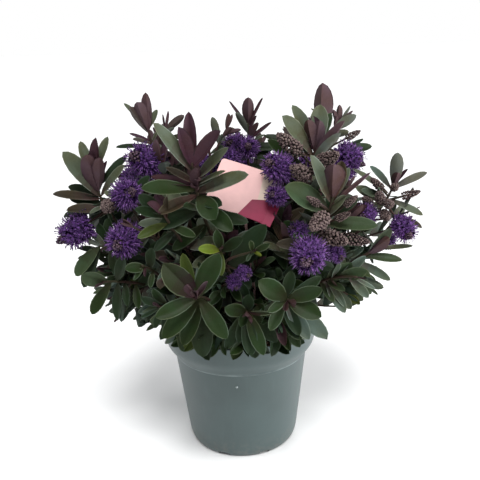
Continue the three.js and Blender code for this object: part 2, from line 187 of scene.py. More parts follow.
# Each light: its kind and power, how soft it is, its tip and turn in degrees, and its place.
for kind, power, width, spread, tip, turn, place in (
    ("SUN", 2.5, "angle", radians(24), 29, 0, (0, 0, 0)),
    ("SUN", 0.55, "angle", radians(40), -62, -12, (0, 0, 0)),
    ("AREA", 12, "size", 0.9, 78, 70, (0.95, -0.35, 0.35)),
):
    bpy.ops.object.light_add(type=kind, location=place, rotation=(radians(tip), 0, radians(turn)))
    bpy.context.object.data.energy = power
    setattr(bpy.context.object.data, width, spread)

world = bpy.context.scene.world or bpy.data.worlds.new("studio")
bpy.context.scene.world = world
world.use_nodes = True
sky = world.node_tree.nodes
lit, seen = sky["Background"], sky.new("ShaderNodeBackground")
for glow, colour, strength in ((lit, (0.97, 0.985, 1, 1), 0.51), (seen, (1, 1, 1, 1), 1)):
    glow.inputs[0].default_value, glow.inputs[1].default_value = colour, strength
to_camera, choice = sky.new("ShaderNodeLightPath"), sky.new("ShaderNodeMixShader")
for source, target in (
    (to_camera.outputs["Is Camera Ray"], choice.inputs[0]),
    (lit.outputs[0], choice.inputs[1]),
    (seen.outputs[0], choice.inputs[2]),
    (choice.outputs[0], sky["World Output"].inputs[0]),
):
    world.node_tree.links.new(source, target)


# ---- Pot ----
# A thin nursery pot in semi-matt grey-green polypropylene, injection moulded in one shot. Its wall rises from a
# rounded heel, flares at the shoulder over a fine bead, and ends in a wide band with a rolled edge.
def alone(piece):
    bpy.ops.object.select_all(action="DESELECT")
    piece.select_set(True)
    bpy.context.view_layer.objects.active = piece


def merged(parts):
    """Joins parts into the last of them."""
    alone(parts[-1])
    for part in parts:
        part.select_set(True)
    bpy.ops.object.join()
    return bpy.context.object


def shape_with(piece, kind, **settings):
    """Adds a modifier and applies it."""
    alone(piece)
    modifier = piece.modifiers.new(kind.lower(), kind)
    for key, value in settings.items():
        setattr(modifier, key, value)
    bpy.ops.object.modifier_apply(modifier=modifier.name)


def put(piece, place):
    """Moves a piece to its place, and keeps the place in its mesh."""
    piece.matrix_world = place
    alone(piece)
    bpy.ops.object.transform_apply()


def finish_piece(piece, paints, slot, *nodes, crease=0):
    """Gives a piece its paints and its place in the model, smoothed over edges up to the crease in degrees."""
    alone(piece)
    if crease == 180:
        bpy.ops.object.shade_smooth()
    elif crease:
        bpy.ops.object.shade_smooth_by_angle(angle=radians(crease))
    for paint in paints:
        piece.data.materials.append(paint.material)
    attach(piece, "root")
    if nodes:
        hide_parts(*nodes)


def block(name, size_mm, **place):
    made = new(bpy.ops.mesh.primitive_cube_add, name, size=MM, scale=size_mm, **place)
    bpy.ops.object.transform_apply()
    return made


def corner(before, point, after, steps):
    """Points round a soft corner of a profile, each (radius, height)."""
    a, b, c = (np.array(p, float) for p in (before, point, after))
    return [tuple((1 - t) ** 2 * a + 2 * t * (1 - t) * b + t * t * c) for t in np.linspace(0, 1, steps + 1)]


def turned(name, profile, sides):
    """A closed body turned about +Z. The profile is in millimetres and runs from its first ring to its last."""
    (radius, height), *others = profile
    piece = new(bpy.ops.mesh.primitive_circle_add, name, vertices=sides, radius=radius * MM, fill_type="TRIFAN")
    bpy.ops.object.mode_set(mode="EDIT")
    bpy.ops.transform.translate(value=(0, 0, height * MM))
    bpy.ops.mesh.select_all(action="DESELECT")
    bpy.ops.mesh.select_non_manifold()
    for r, z in others:
        bpy.ops.mesh.extrude_region_move(TRANSFORM_OT_translate={"value": (0, 0, (z - height) * MM)})
        bpy.ops.transform.resize(value=(r / radius, r / radius, 1), center_override=(0, 0, z * MM))
        radius, height = r, z
    bpy.ops.mesh.edge_face_add()
    bpy.ops.mesh.poke()
    bpy.ops.mesh.select_all(action="SELECT")
    bpy.ops.mesh.remove_doubles(threshold=1e-6)
    bpy.ops.mesh.normals_make_consistent(inside=False)
    bpy.ops.object.mode_set(mode="OBJECT")
    return piece


heel_to_rim = [
    *corner((42.7, 0), (47.4, 0), (48.8, 11.3), 9),
    (53.0, 45),
    (57.6, 82.6),
    *corner((57.75, 83.7), (58.4, 84.3), (58.7, 85.0), 3),
    *corner((58.7, 85.4), (58.8, 85.8), (60.6, 88.2), 2),
    *corner((62.9, 91.4), (65.1, 94.5), (65.35, 99), 5),
    *corner((66.5, 110.6), (66.6, 111.9), (65.9, 112), 4),
]
rim_to_floor = [
    *corner((65.6, 112), (65.1, 111.8), (65.1, 110.6), 3),
    *corner((64.0, 99.4), (63.7, 94.6), (61.4, 91.4), 4),
    *corner((57.8, 86.4), (56.5, 84.5), (56.1, 81), 3),
    (47.5, 12),
    *corner((47.3, 10.4), (46, 2), (42.5, 2), 4),
    (20, 2),
]
pot = turned("nursery_pot", [(20, 0), (38, 0), *heel_to_rim, *rim_to_floor], 96)

# Drain holes are notched into the heel.
DRAINS, DRAIN_REACH, DRAIN_MM = 8, 47.4 * MM, (12, 9, 7)
notches = []
for i in range(DRAINS):
    turn = 2 * pi * (i + 0.5) / DRAINS
    place = (DRAIN_REACH * cos(turn), DRAIN_REACH * sin(turn), 0)
    notches.append(block("drain_notch", DRAIN_MM, location=place, rotation=(0, 0, turn)))
    shape_with(notches[-1], "BEVEL", width=0.9 * MM, segments=3)
drains = merged(notches)
shape_with(pot, "BOOLEAN", operation="DIFFERENCE", object=drains)
bpy.data.objects.remove(drains)

# The plastic is clouded and faintly streaked down the wall and dusty at the foot, with a painted highlight along the
# bead.
POT_COLOURS = [tuple(part * f for part in (0.0515, 0.0775, 0.0775)) for f in (0.9, 1.08, 1.35)]
plastic = Paint("pot_plastic", 0.4)
cloud, streak, height = plastic.grain(0.03, 4), plastic.grain(0.006, 3, (1, 1, 0.12)), plastic.height()
tint = plastic.between(cloud.over(0.3, 0.7), *POT_COLOURS[:2])
tint = plastic.between(streak.over(0.55, 0.85) * 0.35, tint, POT_COLOURS[2])
dust = (1 - height.over(0.0, 0.022)) * plastic.grain(0.004, 4).over(0.42, 0.7) * 0.3
tint = plastic.between(dust, tint, (0.2, 0.18, 0.15))
# Painted highlight: a pale, broken band round the bead, where its edge catches the light.
painted_bead_highlight = height.over(0.0834, 0.0842) * (1 - height.over(0.0852, 0.086)) * plastic.grain(0.012, 3).over(0.35, 0.75)
plastic.coloured(painted_bead_highlight * 0.45, tint, (0.3, 0.36, 0.36))
plastic.feed("Roughness", 0.36 + cloud * 0.12 + dust * 0.3)
plastic.relief(plastic.grain(0.0011, 2) + cloud * 6, 0.00003)
finish_piece(pot, [plastic], "pot", "pot", crease=32)

# The pot's gate mark is a small raised dot of the same plastic, left low on the front where the mould was filled.
gate = new(bpy.ops.mesh.primitive_uv_sphere_add, "pot_gate_mark", segments=20, ring_count=10, radius=1.1 * MM)
flatter = Matrix.Rotation(0.08, 4, "X") @ Matrix.Diagonal((1, 0.55, 1, 1))
put(gate, Matrix.Translation((-0.0042, -0.0564, 0.0736)) @ flatter)
scuffed = mottled("scuffed_plastic", 0.5, 0.5, (0.0006, 2), (0, 1), (0.16, 0.2, 0.2), (0.34, 0.38, 0.38))
finish_piece(gate, [scuffed], "pot", crease=180)


# ---- Potting mix ----
# Dark peat-free mix fills the pot to 14 mm under its rim. Its top is crumbly, with shreds of bark and white grains
# of perlite lying on it.
MIX_TOP = 98
mix_wall = [(20, 5.5), (44.7, 5.5), (47, 11.5), (56.1, 84.6), (63.2, 94.6), (63.2, 97)]
mix = turned("potting_mix_body", [*mix_wall, *((r, MIX_TOP) for r in range(58, 2, -4))], 72)
crumb = bpy.data.textures.new("crumb", "CLOUDS")
crumb.noise_scale, crumb.noise_depth = 0.006, 3
surface = mix.vertex_groups.new(name="top")
surface.add([v.index for v in mix.data.vertices if v.co.z > (MIX_TOP - 0.1) * MM], 1, "REPLACE")
shape_with(mix, "DISPLACE", texture=crumb, direction="Z", strength=0.004, mid_level=0.5, vertex_group="top")

PEAT_BROWN, PEAT_DUST = (0.012, 0.008, 0.005), (0.06, 0.038, 0.022)
peat = mottled("peat_mix", 0.95, 0.2, (0.0022, 5), (0.35, 0.7), PEAT_BROWN, PEAT_DUST, 0.0012)
finish_piece(mix, [peat], "potting_mix", "potting_mix", crease=180)


def unit(vectors):
    return vectors / np.linalg.norm(vectors, axis=-1, keepdims=True)


def made_of(name, points, faces, slots=None):
    """A piece from its corners, faces and the paint of each face."""
    mesh = bpy.data.meshes.new(name)
    mesh.from_pydata(points.tolist(), [], faces)
    if slots is not None:
        mesh.polygons.foreach_set("material_index", slots)
    mesh.update()
    piece = bpy.data.objects.new(name, mesh)
    bpy.context.scene.collection.objects.link(piece)
    return piece


def copies_of(name, points, faces, slots=None):
    """One piece from many copies of a form: points is (copies, corners, 3), faces lists corners of one copy."""
    copies, corners = points.shape[:2]
    every = [[first + c for c in face] for first in range(0, copies * corners, corners) for face in faces]
    return made_of(name, points.reshape(-1, 3), every, None if slots is None else np.tile(slots, copies))


def posed(form, roots, axes, turns, sizes):
    """Copies of a form whose +Z is laid along each axis, turned about it, scaled and moved to each root."""
    axes = unit(axes)
    helper = np.where(np.abs(axes[:, 2:]) < 0.9, np.array([[0.0, 0, 1]]), np.array([[1.0, 0, 0]]))
    first = unit(np.cross(helper, axes))
    second = np.cross(axes, first)
    c, s = np.cos(turns)[:, None], np.sin(turns)[:, None]
    across, over = first * c + second * s, second * c - first * s
    basis = np.stack([across, over, axes], 1)
    return roots[:, None, :] + np.einsum("vk,nkj->nvj", form, basis) * np.asarray(sizes)[:, None, None]


rng = np.random.default_rng(11)
shred = np.array([[x, y * (1 - 0.3 * (x > 0)), z] for x in (-1, 1) for y in (-0.45, 0.45) for z in (-0.12, 0.12)])
shred_faces = [(0, 1, 3, 2), (4, 6, 7, 5), (0, 4, 5, 1), (2, 3, 7, 6), (0, 2, 6, 4), (1, 5, 7, 3)]
grain = np.array([[0, 0, 1], [0.9, 0, 0.2], [0.1, 0.8, 0], [-0.8, 0.1, 0.15], [0, -0.9, 0.1], [0, 0, -0.8]])
grain_faces = [(0, 1, 2), (0, 2, 3), (0, 3, 4), (0, 4, 1), (5, 2, 1), (5, 3, 2), (5, 4, 3), (5, 1, 4)]
fibre, BARK_DARK, BARK_PALE = (0.0015, 4, (1, 1, 0.3)), (0.03, 0.017, 0.01), (0.13, 0.075, 0.04)
bark_chip = mottled("bark_chip", 0.85, 0.25, fibre, (0.3, 0.7), BARK_DARK, BARK_PALE, 0.0004)
perlite = mottled("perlite", 0.8, 0.5, (0.001, 2), (0.3, 0.7), (0.5, 0.48, 0.43), (0.75, 0.73, 0.7))
MIX_REACH, TILT = 61 * MM, 0.35
for name, form, faces, count, size_mm, paint in (
    ("bark_shreds", shred, shred_faces, 520, (1.2, 3.6), bark_chip),
    ("perlite_grains", grain, grain_faces, 130, (0.7, 1.6), perlite),
):
    reach, bearing = MIX_REACH * np.sqrt(rng.random(count)), 2 * pi * rng.random(count)
    roots = np.stack([reach * np.cos(bearing), reach * np.sin(bearing), np.full(count, (MIX_TOP + 0.9) * MM)], 1)
    tilt = np.stack([rng.normal(0, TILT, count), rng.normal(0, TILT, count), np.ones(count)], 1)
    sizes = rng.uniform(*size_mm, count) * MM
    bits = copies_of(name, posed(form, roots, tilt, 2 * pi * rng.random(count), sizes), faces)
    finish_piece(bits, [paint], "potting_mix")


# ---- The growth rule ----
# Every shoot follows one smooth line from inside the woody foot to its tip. The first part of the line is a bare
# bough, the rest a leafy twig. Leaves stand in opposite pairs, each pair a quarter turn from the last.
# Each shoot: bearing in degrees from +X, reach and height in mm, climb above the horizon, side shoots, leaf size.
LEADERS = {
    "left_crest": (185, 107, 224, 84, 2, 1),
    "left_inner": (196, 84, 212, 70, 1, 1),
    "top_left": (163, 74, 264, 85, 2, 1),
    "front_crest": (250, 84, 248, 84, 1, 1.18),
    "back_crest": (76, 52, 258, 88, 2, 1),
    "crown_heart": (140, 26, 238, 86, 1, 1),
    "top_right": (15, 76, 265, 82, 1, 1),
    "right_inner": (342, 62, 244, 80, 1, 1),
    "right_front": (315, 98, 224, 76, 1, 1.1),
    "far_right": (0, 128, 220, 80, 1, 1),
    "right_low": (345, 102, 182, 30, 2, 1),
    "right_skirt": (320, 94, 170, 6, 2, 1),
    "front_right_skirt": (290, 98, 168, 8, 2, 1.1),
    "front_skirt": (268, 84, 158, 4, 2, 1),
    "front_left_skirt": (252, 100, 171, 14, 2, 1.18),
    "left_front_skirt": (231, 98, 186, 24, 2, 1),
    "low_left_skirt": (236, 82, 158, 0, 1, 1),
    "left_skirt": (212, 98, 177, 8, 2, 1),
    "left_side": (190, 98, 182, 16, 2, 1),
    "front_middle": (268, 84, 198, 44, 2, 0.85),
    "left_front": (238, 92, 222, 52, 2, 1),
    "back_right_skirt": (22, 100, 170, 14, 1, 1),
    "back_skirt_right": (60, 100, 166, 10, 1, 1),
    "back_skirt_left": (100, 100, 164, 10, 1, 1),
    "back_left_skirt": (145, 100, 170, 14, 1, 1),
    "back_right": (42, 98, 224, 60, 2, 1),
    "back_middle": (92, 92, 222, 58, 2, 1),
    "back_left": (132, 98, 226, 60, 2, 1),
}
LOW = 190  # mm; shoots below this height spread out over the rim
FOOT_TALL = 34  # mm from the mix to the top of the woody foot
BOUGH_SHARE = 4 / 9  # of a shoot's line
TIP_PAST, PULL_OUT, PULL_IN = 22, 0.42, 0.36  # mm past the place above; how far each end of a line keeps its way
UP = np.array([0.0, 0, 1])


class Chance:
    """A seeded stream of numbers from 0 to 1, the same on every run."""

    def __init__(self, name):
        self.state = 7
        for letter in name:
            self.state = (self.state * 31 + ord(letter)) % 2**32

    def __call__(self):
        self.state = (self.state * 1664525 + 1013904223) % 2**32
        return self.state / 2**32

    def near(self, width):
        return 1 + width * (self() - 0.5)


def pointing(bearing, climb):
    b, c = radians(bearing), radians(climb)
    return np.array([cos(b) * cos(c), sin(b) * cos(c), sin(c)])


def at_bearing(bearing, reach, height):
    return np.array([reach * cos(radians(bearing)), reach * sin(radians(bearing)), height])


class Line:
    """A smooth curve through Bezier control points, in mm, read by shares of its length."""

    def __init__(self, controls, steps=72):
        self.controls = [np.asarray(c, float) for c in controls]
        t = np.linspace(0, 1, 161)[:, None]
        layer = [np.repeat(c[None], len(t), 0) for c in self.controls]
        while len(layer) > 1:
            layer = [a * (1 - t) + b * t for a, b in zip(layer[:-1], layer[1:])]
        run = np.concatenate([[0], np.cumsum(np.linalg.norm(np.diff(layer[0], axis=0), axis=1))])
        self.length = run[-1]
        even = np.linspace(0, run[-1], steps + 1)
        self.points = np.stack([np.interp(even, run, layer[0][:, i]) for i in range(3)], 1)
        self.parameter = np.interp(even, run, t[:, 0])

    def at(self, share):
        place = min(max(share, 0), 1) * (len(self.points) - 1)
        i = min(int(place), len(self.points) - 2)
        return self.points[i] * (i + 1 - place) + self.points[i + 1] * (place - i)

    def along(self, share):
        return unit(self.at(min(share + 0.02, 1)) - self.at(max(share - 0.02, 0)))


def squared(across, along):
    """Two directions square to a line and to each other, the first as near as can be to the one given."""
    first = unit(across - across.dot(along) * along)
    return first, np.cross(along, first)


def any_across(along):
    return UP if abs(along[2]) < 0.7 else np.array([1.0, 0, 0])


def leaving(along, side, turn, angle):
    """The direction that leaves a line at an angle, at a turn round it, and the direction its upper side faces."""
    across, over = squared(side, along)
    radial = across * cos(turn) + over * sin(turn)
    return along * cos(angle) + radial * sin(angle), along * sin(angle) - radial * cos(angle)


# A few shoots have leant over by some millimetres, and five carry a sprig between their leaves.
# Each sprig: the shoot that carries it, mm below that shoot's tip, and the way to its own tip in mm.
SWAY = {
    "left_crest": (-6, 0, 0),
    "far_right": (4, 0, 0),
    "right_low": (3, 0, -9),
    "front_left_skirt": (7, 0, 0),
    "front_skirt": (9, 0, 0),
    "front_right_skirt": (-6, 0, 0),
    "front_middle": (-8, 0, -7),
    "left_skirt": (-2, 0, -9),
    "right_inner": (2, 0, 0),
}
SPRIGS = {
    "top_left_sprig": ("top_left", 40, (9, 6, 27)),
    "heart_sprig": ("crown_heart", 25, (17, 10, 41)),
    "right_top_sprig": ("top_right", 40, (23, 10, 27)),
    "right_back_sprig": ("top_right", 50, (30, 6, 14)),
    "middle_sprig": ("front_middle", 26, (22, -12, 13)),
}
# Boughs leave the foot in three tiers, evenly spaced round it in the order of their shoots' bearings. Each tier: the
# height its shoots end under, where it leaves the foot, how far every second bough is raised, mm from the foot's
# middle, and its climb in degrees.
LINES, lower = {}, 0
for under, at, stagger, out, rise in ((LOW, 0.22, 0.19, 0, 12), (236, 0.66, 0, 0, 34), (1000, 0.94, 0, 5, 58)):
    names = sorted((n for n, s in LEADERS.items() if lower <= s[2] < under), key=lambda n: LEADERS[n][0])
    step = 360 / len(names)
    offset = sum(LEADERS[n][0] - i * step for i, n in enumerate(names)) / len(names)
    for i, n in enumerate(names):
        bearing, reach, height, climb = LEADERS[n][:4]
        start_bearing = offset + i * step
        start = at_bearing(start_bearing, out, MIX_TOP + FOOT_TALL * (at + (i % 2) * stagger))
        direction = pointing(bearing, climb)
        tip = at_bearing(bearing, reach, height) + direction * TIP_PAST
        span = np.linalg.norm(tip - start)
        pull = start + pointing(start_bearing, rise) * span * PULL_OUT
        sway = np.array(SWAY.get(n, (0, 0, 0)))
        LINES[n] = Line((start, pull, tip - direction * span * PULL_IN + sway, tip + sway))
    lower = under
for n, (carrier, below, way) in SPRIGS.items():
    line, way = LINES[carrier], np.array(way, float)
    share = 1 - below / line.length
    root, reach = line.at(share), np.linalg.norm(way)
    SPRIGS[n] = Line((root, root + line.along(share) * reach * 0.35, root + way), 24)


# ---- Woody foot and boughs ----
# The short trunk of an old cutting, hidden in the crown: grey-brown bark with fine fissures that run along the wood,
# flared where it meets the mix. Thin boughs of the same wood grow out of it.
flare = [(6, 98.3), (13, 98.4), *corner((12.4, 99.6), (10.1, 103.5), (8.9, 111), 6), (8.4, 117), (7.9, 124)]
foot = turned("foot_with_bark", [*flare, *corner((7.6, 129), (7.3, 132.2), (5.4, 132.4), 4), (2, 132.6)], 24)
fissure = bpy.data.textures.new("fissure", "CLOUDS")
fissure.noise_scale, fissure.noise_depth = 0.0035, 3
shape_with(foot, "SUBSURF", levels=2, render_levels=2, subdivision_type="SIMPLE")
shape_with(foot, "DISPLACE", texture=fissure, direction="NORMAL", strength=0.0016, mid_level=0.5)

BOUGH_THICK, TAPER = 2.2 * MM, 0.77
bough_parts = []
for line in LINES.values():
    end = line.parameter[round(BOUGH_SHARE * (len(line.points) - 1))]
    a, b, c, d = line.controls
    ab, bc, cd = a + (b - a) * end, b + (c - b) * end, c + (d - c) * end
    abc, bcd = ab + (bc - ab) * end, bc + (cd - bc) * end
    bough = new(bpy.ops.curve.primitive_bezier_curve_add, "bough")
    ends = ((a, a - (ab - a), ab, 1.0), (abc + (bcd - abc) * end, abc, bcd, TAPER))
    for point, (*places, radius) in zip(bough.data.splines[0].bezier_points, ends):
        point.handle_left_type = point.handle_right_type = "FREE"
        point.co, point.handle_left, point.handle_right = (Vector(p * MM) for p in places)
        point.radius = radius
    bough.data.bevel_depth, bough.data.bevel_resolution = BOUGH_THICK, 3
    bough.data.resolution_u, bough.data.use_fill_caps = 26, True
    bpy.ops.object.convert(target="MESH")
    bough_parts.append(bpy.context.object)
boughs = merged(bough_parts[::-1])
boughs.name = "boughs_with_bark"
bpy.ops.object.mode_set(mode="EDIT")
bpy.ops.mesh.select_all(action="SELECT")
bpy.ops.mesh.remove_doubles(threshold=1e-6)
bpy.ops.object.mode_set(mode="OBJECT")
shape_with(boughs, "DISPLACE", texture=fissure, direction="NORMAL", strength=0.0007, mid_level=0.5)

bark = Paint("bark", 0.85, 0.3)
crack = bark.grain(0.0016, 5, (1, 1, 0.35))
worn = bark.between(bark.grain(0.008, 3).over(0.35, 0.7), (0.075, 0.05, 0.033), (0.16, 0.12, 0.085))
bark.coloured((0.5 - crack).over(0, 0.2), worn, (0.025, 0.016, 0.011))
bark.relief(crack, 0.0007)
finish_piece(foot, [bark], "bark", "woody_foot", crease=180)
finish_piece(boughs, [bark], "bark", *(f"bough_{n}" for n in LINES), crease=180)


# ---- Shoots: where twigs, leaves and flower spikes go ----
# A young leaf is narrow, erect and cupped round the bud. Further down a shoot leaves are broader, flatter and spread
# wider. Side shoots repeat the pattern on a smaller scale, and small tufts grow in the axils of the lowest leaves.
FULL_LEAF = 35
# Pairs from the tip of a shoot down: mm below the tip, angle from the shoot's line, share of a full leaf.
PAIRS = ((4, 13, 0.68), (9, 29, 0.86), (15, 46, 0.98), (22, 60, 1.0), (31, 71, 1.0), (41, 80, 0.95))
LOWER = ((52, 84, 0.9), (64, 90, 0.84), (77, 95, 0.74))
BUD_PAIRS = ((0.6, 4, 0.24), (2.0, 8, 0.44))
# The leaves at the ends of the front shoots are set one by one, in place of the first five pairs.
# Each: tone, mm below the shoot's tip, the way from its foot to its tip in mm, and how broad it is. Commas part them.
SET_LEAVES = {
    "left_crest": """
        maroon 18 -5 -10 33 1.5, maroon 18 6 -13 31 1.1, maroon 16 -1 0 33 1.3, maroon 12 3 4 39 0.9,
        maroon 14 10 2 22 0.7, sage 22 -26 -4 39 1, sage 22 23 -6 27 0.8, sage 5 12 14 31 0.7, sage 5 -11 14 28 0.75,
        deep 14 25 10 24 0.7, bronze 24 -38 -6 7 0.75, deep 22 -28 10 8 0.9, deep 30 -33 -8 -6 1,
        bronze 33 -29 -18 4 0.9, deep 30 4 6 -8 1.2, deep 40 7 2 -13 1.2, sage 36 -19 -2 -8 0.9, deep 34 4 -6 -9 0.9,
        sage 30 -10 -14 -3 0.9, deep 28 -27 -2 5 1, deep 24 -1 12 -28 1.5, deep 22 11 14 -24 1.3,
        deep 26 -14 14 -26 1.4""",
    "top_left": """
        maroon 14 0 -2 33 0.95, maroon 14 -7 -8 26 1.5, bronze 15 -14 -4 23 1.2, sage 10 -20 8 20 0.6,
        sage 12 8 6 16 1, maroon 22 -17 -4 8 0.8, bronze 24 -14 -10 6 0.9, deep 26 -31 2 0 0.6, deep 50 -23 -2 -2 0.8,
        sage 24 10 -2 14 0.9""",
    "top_left_sprig": "maroon 2 4 0 17 0.7, maroon 2 -1 2 14 0.6, bronze 3 18 -4 14 0.95, sage 6 11 -6 7 0.8",
    "front_crest": """
        maroon 9 -1 6 37 0.85, maroon 10 -8 -4 29 1.15, maroon 10 21 -8 26 1.25, sage 14 -24 -14 37 0.8,
        sage 20 25 -10 24 0.85, sage 24 22 -12 12 0.6, sage 30 37 -16 15 0.9, fresh 28 -37 -16 6 0.85,
        maroon 24 -31 -4 8 0.8, bronze 22 -20 -2 12 0.9, bronze 32 -28 -12 -10 0.9, fresh 32 13 -20 -13 1.6,
        fresh 40 23 -14 -17 1.15, deep 46 -12 -18 8 1, deep 50 33 -8 -5 0.9, fresh 60 -26 -8 -17 0.9,
        deep 44 -31 -10 -11 1, sage 26 13 -8 8 0.7, maroon 20 9 -6 5 0.7, rose 18 5 -10 0 1, plum 26 -3 -10 4 1.2,
        deep 60 -5 -6 -10 1.1, deep 36 17 -16 -1 1.3, plum 30 1 -11 20 1.35""",
    "heart_sprig": """
        maroon 6 3 -2 14 1.1, maroon 6 6 2 13 0.8, maroon 10 15 -6 4 0.8, sage 20 -4 -4 24 0.85, sage 18 3 -8 8 0.8,
        maroon 14 9 -8 10 1""",
    "back_crest": """
        maroon 8 1 -4 24 1.5, maroon 10 14 2 25 0.5, maroon 10 -16 2 23 0.5, sage 16 -10 -6 20 0.9,
        maroon 16 8 -2 16 0.9, maroon 22 21 -4 16 0.7, maroon 22 9 -10 17 0.9, bronze 26 -15 -8 17 0.7,
        sage 30 -7 -12 11 0.9, deep 30 12 -4 0 1.1, deep 34 25 -4 -5 1.1, deep 38 -7 -4 0 1.1, deep 30 -21 -4 1 1,
        deep 42 19 -4 -11 1.1, deep 28 34 0 -2 1, sage 26 15 -8 10 0.7""",
    "right_inner": """
        maroon 8 -1 2 28 1.5, maroon 8 -6 -6 26 1.4, maroon 9 4 -4 26 1.4, sage 12 -25 -10 34 0.95,
        sage 5 -17 10 33 1, maroon 14 23 -12 31 0.75, sage 16 20 -14 24 0.75, sage 6 5 6 34 1.3, fresh 6 14 10 27 0.8,
        fresh 28 -32 -6 31 0.8, bronze 12 -20 -14 7 0.8, deep 10 -39 8 15 0.6, deep 20 -9 -4 -8 1.2,
        deep 26 10 -4 0 1.2, deep 20 20 0 5 1.2, deep 30 -18 0 -5 1""",
    "top_right": "maroon 18 1 0 39 1.5, sage 8 -10 6 8 0.7",
    "right_top_sprig": """
        maroon 3 1 0 16 1.2, maroon 4 -4 -3 13 1.1, sage 2 10 2 14 0.5, maroon 3 12 -3 11 0.6, sage 12 21 -2 13 1,
        sage 20 19 -8 6 0.9, maroon 8 2 -2 10 1.2, deep 14 4 2 4 1""",
    "right_back_sprig": "fresh 3 25 -2 2 0.9, deep 6 22 6 8 0.7, deep 8 21 0 -4 0.8",
    "right_front": """
        bronze 14 6 -2 28 1.3, maroon 14 -1 -10 27 1.9, maroon 12 6 4 21 1.5, sage 18 -16 -6 37 0.95,
        sage 18 14 6 25 0.7, rose 20 27 -10 26 0.45, moss 24 -33 -10 21 1.35, moss 36 37 -14 1 0.9,
        sage 30 13 -8 18 0.9, fresh 40 -23 -10 -3 0.9, deep 30 24 6 12 1, fresh 60 -22 -4 22 1, bronze 60 -28 -6 5 1,
        rose 24 -11 -8 8 0.7""",
    "far_right": """
        ash 19 2 -4 29 1.15, maroon 18 11 -2 14 0.8, maroon 20 1 -12 15 1.3, ash 21 27 -6 14 0.85,
        slate 22 -18 4 20 0.8, sage 30 28 -10 -13 0.7, sage 34 -26 -6 15 1.1, sage 26 -32 -2 23 0.6,
        slate 30 -24 -10 10 0.9, slate 34 -9 -14 16 0.8, slate 28 5 -12 2 0.7, sage 36 -13 -16 3 0.8""",
    "right_low": """
        slate 18 17 -6 23 1.1, maroon 18 15 -10 16 1.4, moss 22 30 -8 -2 0.75, moss 34 13 -14 -8 1,
        slate 30 28 -6 -16 0.75, moss 40 -11 -8 16 1, sage 10 29 -4 3 0.5""",
    "right_skirt": """
        slate 8 15 -4 -16 1, slate 4 18 4 -12 0.5, slate 30 19 -4 -24 0.9, slate 32 15 -8 -25 1, moss 32 14 -12 -5 1,
        moss 38 9 -14 -12 1, moss 18 20 -12 9 1.2, moss 30 17 -14 18 1.3, slate 24 2 -16 18 1, slate 16 19 -2 17 0.9,
        plum 2 7 -6 0 0.7""",
    "front_right_skirt": """
        fresh 4 -20 -14 20 1.3, fresh 4 23 -12 12 1.2, deep 8 5 2 20 1.3, fresh 5 23 -12 -9 1.4, fresh 5 -14 -14 -3 1,
        fresh 10 -11 -12 -19 1.1, slate 12 18 -6 -30 0.9, deep 14 11 -12 -24 1, slate 12 32 2 -33 0.8,
        plum 2 -5 -27 4 0.65, plum 1 2 -30 9 0.6, deep 3 24 4 15 0.9""",
    "front_skirt": """
        fresh 3 -15 -16 11 1.3, deep 5 2 -10 17 1.3, flushed 2 18 -14 5 0.5, plum 1 3 -28 5 0.6, plum 1 -1 -30 11 0.6,
        deep 6 -5 -18 -4 1.1, deep 8 2 -10 -31 1.05, fresh 8 11 -12 -30 0.95, deep 12 21 -6 -24 1,
        deep 10 -7 -6 -23 1, deep 14 -17 -4 -30 0.8""",
    "front_left_skirt": """
        flushed 5 -20 -10 29 1.5, fresh 4 18 -8 34 1.1, fresh 10 19 -14 -26 1.05, fresh 8 -29 -12 -9 1,
        fresh 12 -27 -10 -26 1, fresh 16 -15 -8 -33 1, deep 20 -3 -6 -44 1.1, rose 2 11 -27 22 0.4,
        maroon 2 -3 -24 19 0.8, plum 1 4 -28 16 0.7, olive 4 -8 8 30 0.8""",
    "low_left_skirt": """
        deep 4 -7 -4 -16 1, deep 2 -16 0 -8 0.6, deep 12 -5 -2 -22 1, deep 3 -14 -8 11 1, fresh 8 -8 -10 17 1,
        plum 1 -4 -10 8 0.8""",
    "left_skirt": """
        moss 4 -16 -10 10 2, fresh 8 -17 -4 -25 1, deep 14 -3 -4 -31 0.9, plum 2 -6 -8 -1 0.9, deep 12 9 -6 22 1.2,
        deep 20 3 -14 -15 1, fresh 30 3 -12 -17 1""",
    "left_side": """
        moss 6 -22 -4 -24 1.1, sage 8 -13 -4 9 0.8, deep 14 -9 6 20 1.2, deep 16 -2 4 26 1.1, sage 12 -14 4 15 0.9,
        deep 18 4 6 19 1.1, deep 14 7 -10 -21 1.1, deep 6 -17 -2 -35 1""",
    "left_front_skirt": """
        fresh 16 -14 -12 4 1.3, deep 20 4 -8 19 1.2, plum 14 1 -10 -4 0.9, fresh 24 -1 -12 -9 1,
        fresh 12 -6 -10 -7 0.9""",
    "left_inner": """
        deep 8 18 4 18 1, deep 10 -12 -6 -8 1, deep 14 12 -8 -4 1, sage 12 -21 4 10 0.8, deep 18 -9 -8 -8 1""",
    "crown_heart": "deep 4 -6 6 -1 1, deep 8 11 6 6 0.9, deep 14 18 2 1 1, deep 16 0 2 -2 1, deep 24 13 0 -3 1",
    "left_front": """
        maroon 14 -9 -12 11 1.4, deep 16 -17 -2 16 1.2, deep 18 -20 -10 9 1, bronze 20 2 -6 18 0.9,
        olive 24 -22 -10 -8 0.85, deep 34 -15 -8 -12 1, fresh 28 18 -12 -5 0.9""",
    "front_middle": """
        lime 3 -15 -10 5 1.1, olive 3 0 -8 -16 1, fresh 4 -2 -8 18 1.1, deep 5 16 -12 13 1, plum 1 2 -10 5 1,
        deep 36 29 -4 35 1""",
    "middle_sprig": """
        fresh 2 -2 -5 10 1.2, lime 2 6 -6 -1 1.1, deep 3 -4 -5 -5 1.1, fresh 3 13 -3 7 1.1, plum 1 1 -7 4 1""",
}
